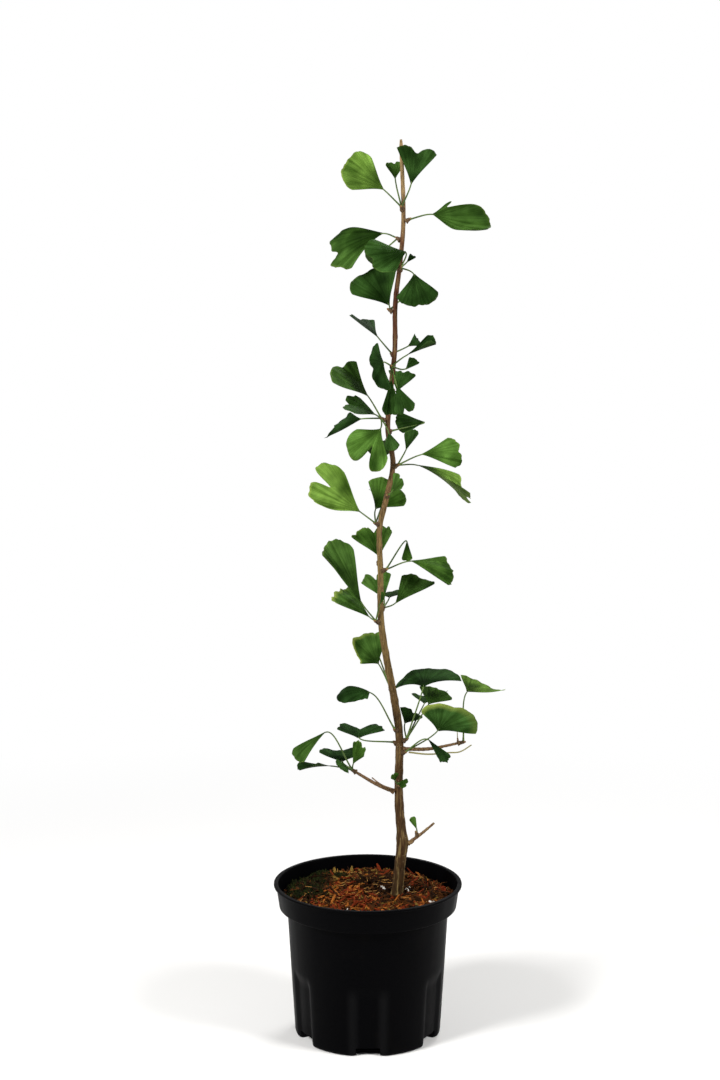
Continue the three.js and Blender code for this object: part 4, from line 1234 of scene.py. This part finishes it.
# %% Sprays of the upper middle
SPRAYS |= {
    "leaves_mid_back": dict(
        tints="deep",
        height=650, bearing=60, rise=20, length=3,
        leaves=[
            dict(stalk=(56, -16, 7), blade=(66, 53, 29), spread=34, cleft=0.1),
        ],
    ),
    "leaves_mid_right": dict(
        tints="deep deep",
        height=610, bearing=60, rise=20, length=3,
        leaves=[
            dict(stalk=(27, 11, 40), blade=(203, 3, 31), face=(270, 40), spread=30, cleft=0),
            dict(stalk=(102, -25, 25), blade=(102, -21, 35), face=(90, 60), spread=38),
        ],
    ),
    "leaves_mid_left": dict(
        tints="mid deep dark fresh deep",
        height=622, bearing=190, rise=30, length=4,
        leaves=[
            dict(stalk=(209, 56, 26), blade=(209, 46, 47), face=(325, 30), spread=38, cleft=0.12,
                 lean=-0.2, corner=0.05, split=0.35, notch=0.25, ragged=0),
            dict(stalk=(207, 30, 7), blade=(214, 26, 38), face=(320, 45), spread=36, ragged=0.07,
                 lean=-0.3),
            dict(stalk=(145, -3, 23), blade=(149, -9, 39), face=(270, 55), spread=40, lean=-0.15,
                 ragged=0.04),
            dict(stalk=(270, -45, 13), blade=(197, -50, 42), face=(270, 10), spread=50,
                 cleft=0.55, notch=0.13, lean=-0.12, corner=0.35, curl=10, split=-0.22),
            dict(stalk=(298, -39, 19), blade=(291, -58, 20), face=(270, 10), spread=26, cleft=0),
        ],
    ),
    "leaves_half_right": dict(
        tints="deep fresh pale",
        height=577, bearing=320, rise=20, length=3,
        leaves=[
            dict(stalk=(331, 58, 17), blade=(298, 51, 25), face=(300, 20), spread=22, cleft=0),
            dict(stalk=(345, 25, 26), blade=(342, 10, 40), face=(270, 25), spread=29, cleft=0.05,
                 lean=0.1),
            dict(stalk=(32, -1, 22), blade=(13, -21, 65), face=(270, 80), spread=30, arch=-35,
                 ragged=0.07, cleft=0.05),
        ],
    ),
    "leaves_half_front": dict(
        tints="mid",
        height=548, bearing=270, rise=20, length=2,
        leaves=[
            dict(stalk=(302, 24, 10), blade=(303, 54, 20), spread=40),
        ],
    ),
    "leaves_half_left": dict(
        tints="fresh pale deep",
        height=520, bearing=200, rise=20, length=2.5,
        leaves=[
            dict(stalk=(93, 48, 17), blade=(27, 50, 35), face=(270, 15), spread=48, cleft=0.05,
                 corner=0.15),
            dict(stalk=(210, 35, 21), blade=(198, 36, 60), face=(285, 25), spread=34, cleft=0.38,
                 notch=0.11, lean=0.12, corner=0.4, split=0.14, ragged=0.05),
            dict(stalk=(76, 30, 40), blade=(86, 11, 33), face=(90, 60), spread=35),
        ],
    ),
}
print("sprays so far:", len(SPRAYS))

# %% Sprays of the lower middle
SPRAYS |= {
    "leaves_knee_back": dict(
        tints="fresh",
        height=480, bearing=110, rise=20, length=3,
        leaves=[
            dict(stalk=(73, 37, 7), blade=(127, 66, 34), face=(270, 20), spread=43, ragged=0.08,
                 cleft=0.2, lean=-0.1),
        ],
    ),
    "leaves_knee_right": dict(
        tints="fresh fresh",
        height=474, bearing=330, rise=20, length=3,
        leaves=[
            dict(stalk=(26, 15, 28), blade=(18, -11, 52), face=(255, 40), spread=23, cleft=0.05),
            dict(stalk=(349, 55, 37), blade=(270, -80, 21), face=(270, 10), spread=17, cleft=0),
        ],
    ),
    "leaves_low_back": dict(
        tints="mid mid deep",
        height=434, bearing=60, rise=20, length=3,
        leaves=[
            dict(stalk=(78, 52, 9), blade=(128, 58, 33), spread=34, ragged=0.05, cleft=0.25),
            dict(stalk=(33, 11, 14), blade=(32, 43, 41), face=(270, 30), spread=26, cleft=0.05,
                 lean=0.2),
            dict(stalk=(78, 10, 31), blade=(87, 12, 35), face=(90, 60), spread=35),
        ],
    ),
    "leaves_low_left": dict(
        tints="fresh mid edged",
        height=422, bearing=215, rise=20, length=3,
        leaves=[
            dict(stalk=(311, 72, 19), blade=(290, 47, 13), spread=50),
            dict(stalk=(205, 51, 25), blade=(206, 64, 69), face=(325, 20), spread=27, cleft=0,
                 corner=0.25, curl=60),
            dict(stalk=(123, 10, 10), blade=(158, 42, 46), face=(300, 40), spread=24, ragged=0.05,
                 cleft=0.08, corner=0.2),
        ],
    ),
    "leaves_lower_back": dict(
        tints="edged deep",
        height=352, bearing=110, rise=20, length=3,
        leaves=[
            dict(stalk=(171, 64, 26), blade=(155, 48, 38), face=(270, 20), spread=54, ragged=0.07,
                 cleft=0.5, corner=0.3, lean=-0.2, split=-0.8, notch=0.5),
            dict(stalk=(119, 50, 42), blade=(99, 3, 30), face=(90, 60), spread=36),
        ],
    ),
    "leaves_lower_front": dict(
        tints="dark",
        height=312, bearing=230, rise=20, length=2,
        leaves=[
            dict(stalk=(220, 53, 53), blade=(215, 10, 35), face=(262, 50), spread=52, curl=-60,
                 ragged=0.04, lean=0.25, cleft=0.5, split=-0.7, notch=0.6, arch=-80),
        ],
    ),
    "leaves_lower_left": dict(
        tints="dark",
        height=297, bearing=140, rise=20, length=2,
        leaves=[
            dict(stalk=(163, 2, 38), blade=(88, 24, 30), face=(270, 46), spread=68, curl=5,
                 cleft=0.3, notch=0.2, ragged=0.08, lean=0.08),
        ],
    ),
}
print("sprays so far:", len(SPRAYS))

# %% Sprays of the side shoots and the foot
SPRAYS |= {
    "leaves_bough_left": dict(
        tints="mid dark dark fresh deep",
        bough="bough_low_left", length=4,
        leaves=[
            dict(stalk=(199, 57, 50), blade=(204, -36, 42), face=(205, 40), spread=26, cleft=0.05,
                 curl=10),
            dict(stalk=(212, 17, 25), blade=(207, 7, 35), face=(90, 78), spread=40, cleft=0.05),
            dict(stalk=(134, 19, 16), blade=(92, 20, 33), face=(270, 45), spread=55, ragged=0.05),
            dict(stalk=(274, 46, 10), blade=(304, 57, 27), spread=26, ragged=0.06),
            dict(stalk=(252, 27, 13), blade=(234, 19, 16)),
        ],
    ),
    "leaves_lower_right": dict(
        tints="dark fresh deep deep",
        height=301, bearing=340, rise=30, length=3,
        leaves=[
            dict(stalk=(319, 69, 60), blade=(82, 24, 46), face=(245, 60), spread=56, curl=-25,
                 cleft=0.08, corner=0.05),
            dict(stalk=(20, 55, 41), blade=(57, 33, 28), face=(270, 55), spread=48),
            dict(stalk=(99, 47, 18), blade=(53, 33, 21), face=(270, 40), spread=45),
            dict(stalk=(67, 28, 56), blade=(74, 12, 36), face=(90, 60), spread=40),
        ],
    ),
    "leaves_right_front": dict(
        tints="rolled dark",
        height=289, bearing=320, rise=20, length=3,
        leaves=[
            dict(stalk=(334, 35, 43), blade=(44, 42, 36), face=(270, 50), spread=72, lean=0.22,
                 curl=15, cleft=0.08),
            dict(stalk=(321, 33, 33), blade=(323, -32, 31), face=(330, 40), spread=26,
                 ragged=0.05, cleft=0),
        ],
    ),
    "leaves_bough_right": dict(
        tints="pale",
        bough="bough_low_right", length=5,
        leaves=[
            dict(stalk=(77, 70, 51), blade=(45, 14, 34), face=(270, 62), spread=56, cleft=0.15,
                 notch=0.5, corner=0.05, curl=30, lean=0.2),
        ],
    ),
    "leaves_foot_front": dict(
        tints="fresh fresh",
        height=256, bearing=270, rise=10, length=2,
        leaves=[
            dict(stalk=(237, 44, 5), blade=(325, 9, 12), spread=40),
            dict(stalk=(216, 48, 7), blade=(257, 59, 10), spread=35),
        ],
    ),
    "leaves_base_right": dict(
        tints="fresh",
        bough="bough_base_right", along=0.4, bearing=150, rise=60, length=2,
        leaves=[
            dict(stalk=(60, 60, 3), blade=(200, 70, 15), spread=16, cleft=0),
        ],
    ),
}
print("sprays in all:", len(SPRAYS))

# %% Where spurs and leaves stand
SPUR_RADIUS, SPUR_TAPER = 2.1, 0.25
STALK_ROOT = 1  # how far below the spur's tip the stalks begin
BOUGH_STEPS = 200


def spur_base(spray):
    """The place and the direction of a spray's spur."""
    if "bough" in spray and "along" not in spray:
        path = bough_path(BOUGHS[spray["bough"]], BOUGH_STEPS)
        outward = unit(path[-1] - path[-2])
        return path[-1] + outward * CLEARANCE, outward
    outward = direction(spray["bearing"], spray["rise"])
    if "bough" not in spray:
        return trunk_side(spray["height"], outward, SPUR_RADIUS), outward
    bough = BOUGHS[spray["bough"]]
    path = bough_path(bough, BOUGH_STEPS)
    start = path[round(spray["along"] * (len(path) - 1))]
    return start + outward * (bough["root"] + CLEARANCE), outward


def place_leaf(line, root, stream, number, tint):
    """A leaf of the table with its plain values, its own waves and its own frame filled in."""
    leaf = {**PLAIN_LEAF, **line, "root": root, "number": number, "tint": tint}
    leaf["phases"] = [2 * math.pi * next(stream) for _ in range(3)]
    bearing, rise, length = leaf["stalk"]
    leaf["foot"] = root + direction(bearing, rise) * length
    leaf["forward"] = direction(*leaf["blade"][:2])
    leaf["sideways"] = unit(np.cross(leaf["forward"], direction(*leaf["face"])))
    leaf["outward"] = np.cross(leaf["sideways"], leaf["forward"])
    return leaf


leaves, spurs = [], []
for index, spray in enumerate(SPRAYS.values()):
    start, outward = spur_base(spray)
    tip = start + outward * spray["length"]
    spurs.append((start, outward, spray["length"]))
    stream = seeded(index + 1)
    for line, tint in zip(spray["leaves"], spray["tints"].split()):
        leaves.append(place_leaf(line, tip - outward * STALK_ROOT, stream, len(leaves), tint))
print("leaves:", len(leaves), "on", len(spurs), "spurs")

# %% [markdown]
# No two edges of a ginkgo leaf are alike. Its big waves come from three sines whose starts are
# drawn for each leaf, and the small scallops and teeth are where the veins end. The blade itself
# is never flat: it ruffles, frills at the edge, is pleated along its veins, sags and is folded a
# little along the middle. A cloth simulation could crumple it, but then every test would take
# minutes, and a leaf couldn't be told to match one on the plant. All waves are counted in radians
# from the middle of the fan to its side, and all heights are parts of the leaf's length.

# %% Waves of a fan
EDGE_WAVES = ((7, 0.5), (13, 0.3), (23, 0.2))  # each with its share of the unevenness
SCALLOPS, SCALLOP_SHIFT, SCALLOP_SHIFTS = 11, 0.6, 9  # they are moved aside by uneven amounts
TEETH, TOOTH_SHARE = 29, 0.4  # much finer, and less deep than the scallops
DENT_LEAST, DENT_SHARE = 0.004, 0.3  # how deep both are on every leaf, and on ragged ones
DENT_WAVES, DENT_EVEN = 5, 0.4
RUFFLES = 5
FRILLS, FRILL = 15, 0.011
PLEATS, PLEAT = 34, 0.0016
SAG_OUT, SAG_SIDE, SAG = 3, 2.2, 0.02  # outwards, across and how deep
FOLD, FOLD_ROUNDING = 0.1, 0.01
BLADE_FOOT = 1.2  # how far from the middle of the fan the blade begins
BLADE_FLARE = 0.3  # how much narrower the fan is at its foot
STRAIGHT = 1e-6  # a bend below this many radians a millimetre is none
print(f"pleats across a fan: {PLEATS / math.pi:.0f}")


# %% The shape of a fan
def bent(distance, height, rate):
    """Bends a strip: points some distance along it and some height off it, at a rate per mm."""
    if abs(rate) < STRAIGHT:
        return distance, height + 0 * distance
    radius = 1 / rate - height
    return radius * np.sin(distance * rate), 1 / rate - radius * np.cos(distance * rate)


def fan_edge(leaf, side):
    """How far out the edge is, as a part of the leaf's length, from side -1 to side 1."""
    notch = leaf["cleft"] * np.exp(-((side - leaf["split"]) / leaf["notch"]) ** 2)
    slow, middling, quick = leaf["phases"]
    waves = sum(share * np.sin(count * side + phase)
                for (count, share), phase in zip(EDGE_WAVES, leaf["phases"]))
    edge = (1 - notch) * (1 - leaf["corner"] * side ** 4)
    edge = edge * (1 + leaf["lean"] * side + leaf["ragged"] * waves)
    uneven = 0.5 + 0.5 * np.sin(DENT_WAVES * side + quick)
    shifted = SCALLOP_SHIFT * np.sin(SCALLOP_SHIFTS * side)
    scallops = 1 - np.abs(np.sin(SCALLOPS * side + middling + shifted))
    teeth = 1 - np.abs(np.sin(TEETH * side + slow))
    dents = DENT_LEAST + DENT_SHARE * leaf["ragged"] * (DENT_EVEN + uneven)
    return edge * (1 - dents * scallops ** 2 - TOOTH_SHARE * dents * teeth ** 2)


def fan_points(leaf, side, out):
    """Points of the fan's middle surface."""
    length = leaf["blade"][2]
    spread = math.radians(leaf["spread"])
    angle = side * spread * (1 - BLADE_FLARE * (1 - out) ** 2)
    radius = BLADE_FOOT + (length * fan_edge(leaf, side) - BLADE_FOOT) * out
    slow, middling, quick = leaf["phases"]
    ruffle = leaf["ruffle"] * length * out ** 2 * np.sin(RUFFLES * side + slow)
    frill = FRILL * length * out ** 4 * np.sin(FRILLS * side + middling)
    pleats = PLEAT * length * out * np.sin(PLEATS * side + quick)
    sag = SAG * length * np.sin(SAG_OUT * out + slow) * np.sin(SAG_SIDE * side + quick)
    ridge = np.sqrt(side ** 2 + FOLD_ROUNDING)
    fold = FOLD * length * math.sin(3 * slow) * out * ridge
    half_width = length * math.sin(spread)
    across, cup = bent(radius * np.sin(angle), 0, math.radians(leaf["curl"]) / half_width)
    along, lift = bent(radius * np.cos(angle), cup + ruffle + frill + pleats + fold + sag * out,
                       math.radians(leaf["arch"]) / length)
    return (leaf["foot"] + across[..., None] * leaf["sideways"]
            + along[..., None] * leaf["forward"] + lift[..., None] * leaf["outward"])


print("edge of the first leaf:", fan_edge(leaves[0], np.linspace(-1, 1, 5)).round(2))

# %% [markdown]
# The surface of a ginkgo leaf is smooth and satin, not glossy, with raised veins about a
# millimetre apart. The upper face is a full green and the lower face a greyer one. Along the edge
# of older leaves runs a thin yellowish line where they have begun to dry. On a few of the lowest
# leaves this rim is a few millimetres wide. On one it has curled over and shows its pale underside,
# and there the wide pale band is also a painted highlight of light from above. One side of the fan
# turns first, so the rim fades towards the other side.
#
# A scan of a leaf would hold all this, but one scan on sixty leaves shows. Here the veins and the
# streaks follow the fan's own two directions, and the blotches and clouds lie in space, so each
# leaf has its own. The dark clouds are painted shade of folds, and the wide streaks along the fan
# are painted light and shade of the pleats as well as their relief.

# %% Leaf green
# Across the whole fan and along it. 34 veins on a fan 60 mm wide lie 1.8 mm apart, which is drawn
# a little coarser than the real ones, because finer ones would be lost between pixels.
VEINS, FIBRE_LINES, WIDE_STREAKS = 34, (46, 1.2, 1), (13, 0.9, 1)
LEAF_BLOTCHES, LEAF_SHADE_CLOUDS = 75, 30  # in a metre, so 13 mm and 33 mm apart
RIM_FULL, RIM_FAINT, RIM_LEFT = 0.3, 0.8, 0.2  # places across the fan, and what is left of the rim
RIM_END = 1.02


def leaf_green(name, colour, rim, width):
    """A leaf's face. rim is how far its edge has turned yellow, over this part of the leaf."""
    made, tree = new_material(name)
    fan = add(tree, "UVMap", uv_map="fan")
    split = add(tree, "SeparateXYZ", {0: fan.outputs[0]})
    place = add(tree, "TexCoord")
    drawn = add(tree, "Mapping", {"Vector": fan.outputs[0], "Scale": FIBRE_LINES})
    fibres = add(tree, "TexNoise", {"Vector": drawn.outputs[0], "Scale": 1.0, "Detail": 3.0})
    forks = add(tree, "Math", {0: split.outputs["X"], 1: 2 * math.pi * VEINS},
                operation="MULTIPLY")
    ridges = add(tree, "Math", {0: forks.outputs[0]}, operation="SINE")
    blotches = add(tree, "TexNoise", {"Vector": place.outputs["Object"], "Scale": LEAF_BLOTCHES,
                                      "Detail": 4.0})
    shade_clouds = add(tree, "TexNoise", {"Vector": place.outputs["Object"], "Scale": LEAF_SHADE_CLOUDS,
                                    "Detail": 2.0})
    wide = add(tree, "Mapping", {"Vector": fan.outputs[0], "Scale": WIDE_STREAKS})
    pleat_relief_and_shade = add(tree, "TexNoise", {"Vector": wide.outputs[0], "Scale": 1.0, "Detail": 2.0})
    veins = add(tree, "Math", {0: ridges.outputs[0], 1: 0.12, 2: fibres.outputs[0]},
                operation="MULTIPLY_ADD")
    outer = add(tree, "Math", {0: shade_clouds.outputs[0], 1: 0.5, 2: split.outputs["Y"]},
                operation="MULTIPLY_ADD")
    # The clouds paint shade of folds in broad dark patches, the wide streaks paint light and shade
    # of the pleats, and outer makes each fan darker towards its foot.
    tone = linear(colour)
    for amount, low, shade, high in (
            (veins, 0.3, "#dbdfd5", 0.7), (blotches, 0.35, "#d2d6cc", 0.65),
            (shade_clouds, 0.36, "#8f9c84", 0.6), (pleat_relief_and_shade, 0.38, "#c8cfba", 0.6),
            (outer, 0.4, "#bcc3b1", 0.9)):
        shades = add(tree, "ValToRGB", {"Fac": amount.outputs[0]},
                     stops=[(low, shade), (high, WHITE)])
        darker = add(tree, "Mix", {0: 1.0, 6: tone, 7: shades.outputs[0]}, data_type="RGBA",
                     blend_type="MULTIPLY")
        tone = darker.outputs[2]
    uneven = add(tree, "Math", {0: blotches.outputs[0], 1: 0.06, 2: split.outputs["Y"]},
                 operation="MULTIPLY_ADD")
    across = add(tree, "Math", {0: split.outputs["X"]}, operation="FRACT")
    side = add(tree, "MapRange", {"Value": across.outputs[0], "From Min": RIM_FULL,
                                  "From Max": RIM_FAINT, "To Min": rim, "To Max": RIM_LEFT * rim})
    edge = add(tree, "MapRange", {"Value": uneven.outputs[0], "From Min": 1 - width,
                                  "From Max": RIM_END, "To Max": side.outputs[0]})
    rimmed = add(tree, "Mix", {0: edge.outputs[0], 6: tone, 7: linear("#93a04a")},
                 data_type="RGBA")
    swell = add(tree, "Math", {0: pleat_relief_and_shade.outputs[0], 1: 1.1, 2: veins.outputs[0]},
                operation="MULTIPLY_ADD")
    relief = add(tree, "Bump", {"Height": swell.outputs[0], "Strength": 0.5,
                                "Distance": 0.0006})
    skin = add(tree, "BsdfPrincipled", {
        "Base Color": rimmed.outputs[2], "Roughness": 0.6, "IOR": 1.3, "Specular IOR Level": 0.04,
        "Normal": relief.outputs[0],
    })
    add(tree, "OutputMaterial", {"Surface": skin.outputs[0]})
    return made


leaf_skins = []  # the upper and the lower face of each green in turn
for tint, (upper, lower, rim, width) in TINTS.items():
    leaf_skins.append(leaf_green(f"{tint} green upper face", upper, rim, width))
    leaf_skins.append(leaf_green(f"{tint} green lower face", lower, rim, width))
print("leaf materials:", len(leaf_skins))

# %% [markdown]
# A blade is about 0.4 mm thick, and thinner at its edge. A single sheet of faces with a Solidify
# modifier would do, but here both faces are made at once, so that the lower one can have its own
# green. The rows of points crowd together towards the edge, where the shape is finest. The whole
# crown is three pieces, by height, so that each stays light enough.

# %% Leaf blades
BLADE_COLUMNS, BLADE_ROWS = 78, 20
BLADE_HALF, EDGE_THINNING, EDGE_SHARPNESS = 0.2, 0.5, 6
ROW_CROWDING = 0.8
BLADE_PIECES = {"leaves_upper": 660, "leaves_middle": 400, "leaves_lower": 0}  # from this height


def piece_at(height):
    """The name of the piece that has the leaves at a height."""
    return next(name for name, low in BLADE_PIECES.items() if height > low)


def blade(leaf):
    """A blade as a closed sheet with its fan coordinates."""
    side, out = np.meshgrid(np.linspace(-1, 1, BLADE_COLUMNS + 1),
                            np.linspace(0, 1, BLADE_ROWS + 1) ** ROW_CROWDING, indexing="ij")
    half = BLADE_HALF * (1 - EDGE_THINNING * out ** EDGE_SHARPNESS)
    points, faces, _ = sheet(fan_points(leaf, side, out), half)
    first = 2 * list(TINTS).index(leaf["tint"])
    quads = BLADE_COLUMNS * BLADE_ROWS
    numbers = [first] * quads + [first + 1] * quads + [first] * (len(faces) - 2 * quads)
    fan = np.stack([side / 2 + 0.5 + leaf["number"], out], axis=-1).reshape(-1, 2)
    return (points, faces, numbers), np.vstack([fan, fan])


print("each blade has", 2 * BLADE_COLUMNS * BLADE_ROWS, "faces besides its edge")

# %% Leaf pieces
spray_names = list(SPRAYS)
blades = {name: ([], []) for name in BLADE_PIECES}
for leaf in leaves:
    name = piece_at(leaf["root"][2])
    shape, fan = blade(leaf)
    blades[name][0].append(shape)
    blades[name][1].append(fan)
for name, (shapes, fans) in blades.items():
    replaced = [spray for spray, (start, *_) in zip(spray_names, spurs)
                if piece_at(start[2]) == name]
    piece = make_piece(name, shapes, leaf_skins, replaced)
    layer = piece.data.uv_layers.new(name="fan")
    corners = np.empty(len(piece.data.loops), int)
    piece.data.loops.foreach_get("vertex_index", corners)
    layer.data.foreach_set("uv", np.concatenate(fans)[corners].astype(np.float32).ravel())

# %% [markdown]
# A stalk is round, with a shallow groove along its top, and is thickest at its root. It sets out
# towards its fan and turns into the fan's own direction at the end. A straight rod would show a
# kink there, so each stalk follows a Bezier curve whose last handle lies along the fan.

# %% Leaf stalks
STALK_RADIUS, STALK_TAPER, STALK_SINK = 0.95, 0.3, 4
STALK_RINGS = 22
ROOT_HANDLE, FAN_HANDLE = 0.4, 0.2  # parts of the stalk's length
STALK_FLARE, FLARE_LENGTH = 0.5, 0.06  # parts of its radius and of its length
THINNING, THINNING_START = 0.6, 0.9  # where it fades into the fan
STALK_GROOVE = 0.18 * np.array([1, 0.4, 0, 0, 0, 0, 0, 0.4])  # for each side, parts of the radius
STALK_BLOTCHES = 60  # in a metre, so 17 mm apart
stalk_green, tree = new_material("yellow green leaf stalk")
place = add(tree, "TexCoord")
blotches = add(tree, "TexNoise", {"Vector": place.outputs["Object"], "Scale": STALK_BLOTCHES})
tone = add(tree, "ValToRGB", {"Fac": blotches.outputs[0]},
           stops=[(0.3, "#2f431a"), (0.7, "#566b30")])
skin = add(tree, "BsdfPrincipled", {"Base Color": tone.outputs[0], "Roughness": 0.45,
                                    "Specular IOR Level": 0.15})
add(tree, "OutputMaterial", {"Surface": skin.outputs[0]})


def stalk(leaf):
    """A leaf's stalk, from inside the spur to a little way into the fan."""
    root, foot, forward = leaf["root"], leaf["foot"], leaf["forward"]
    rising = root + (foot - root) * ROOT_HANDLE
    nearing = foot - forward * FAN_HANDLE * leaf["stalk"][2]
    t = np.linspace(0, 1, STALK_RINGS)[:, None]
    path = (root * (1 - t) ** 3 + rising * 3 * t * (1 - t) ** 2
            + nearing * 3 * t * t * (1 - t) + (foot + forward * STALK_SINK) * t ** 3)
    t = t[:, 0]
    flare = 1 + STALK_FLARE * np.exp(-(t / FLARE_LENGTH) ** 2)
    radii = STALK_RADIUS * (1 - STALK_TAPER * t) * flare
    radii *= 1 - THINNING * smoothstep(t, THINNING_START, 1)
    return tube(path, radii[:, None] * (1 - STALK_GROOVE), len(STALK_GROOVE))


make_piece("leaf_stalks", [stalk(leaf) for leaf in leaves], [stalk_green], spray_names)

# %% [markdown]
# A spur grows by a fraction of a millimetre a year, so it is ringed with the scars of bud scales,
# and its tip carries a blunt bud between the stalks. Such rings could be a bump in the material,
# but a spur is seen against the light, and only real rings show in its outline.

# %% Spurs
SPUR_SIDES, SPUR_STEP, SPUR_SUNK, LAST_RING = 14, 0.25, 1.6, 0.01
SCAR, SCAR_SPACING = 0.16, 0.9  # drawn coarser than the real 0.3 mm, so that the rings show
SPUR_FLARE, SPUR_FLARE_PLACE, SPUR_FLARE_LENGTH = 0.8, -1.2, 1.1
BUD_RADIUS, BUD_LENGTH, BUD_SUNK, BUD_TIP = 1.3, 2.4, 0.4, 0.01
BUD_RINGS, BUD_SIDES = 9, 10
spur_bark = bark_of("ringed spur bark", [(0.0, "#4f3e2b"), (1.0, "#5a4532")], 0.6)
bud_scales = bark_of("brown bud scales", [(0.0, "#7d5a38"), (1.0, "#86643f")], 0.3)
swell = np.linspace(0, 1, BUD_RINGS)
bud_girth = BUD_RADIUS * np.sqrt(np.clip(1 - swell ** 2, BUD_TIP, 1))
stubs = []
for start, outward, length in spurs:
    places = np.arange(-SPUR_SUNK, length + LAST_RING, SPUR_STEP)
    path = start + outward * places[:, None]
    girth = SPUR_RADIUS * (1 - SPUR_TAPER * np.clip(places, 0, None) / length)
    girth += SCAR * np.sin(places * 2 * math.pi / SCAR_SPACING)
    girth += SPUR_FLARE * np.exp(-((places - SPUR_FLARE_PLACE) / SPUR_FLARE_LENGTH) ** 2)
    stubs.append(tube(path, girth, SPUR_SIDES))
    bud = start + outward * (length - BUD_SUNK + BUD_LENGTH * swell[:, None])
    stubs.append(tube(bud, bud_girth, BUD_SIDES, 1))
make_piece("spurs", stubs, [spur_bark, bud_scales], spray_names)
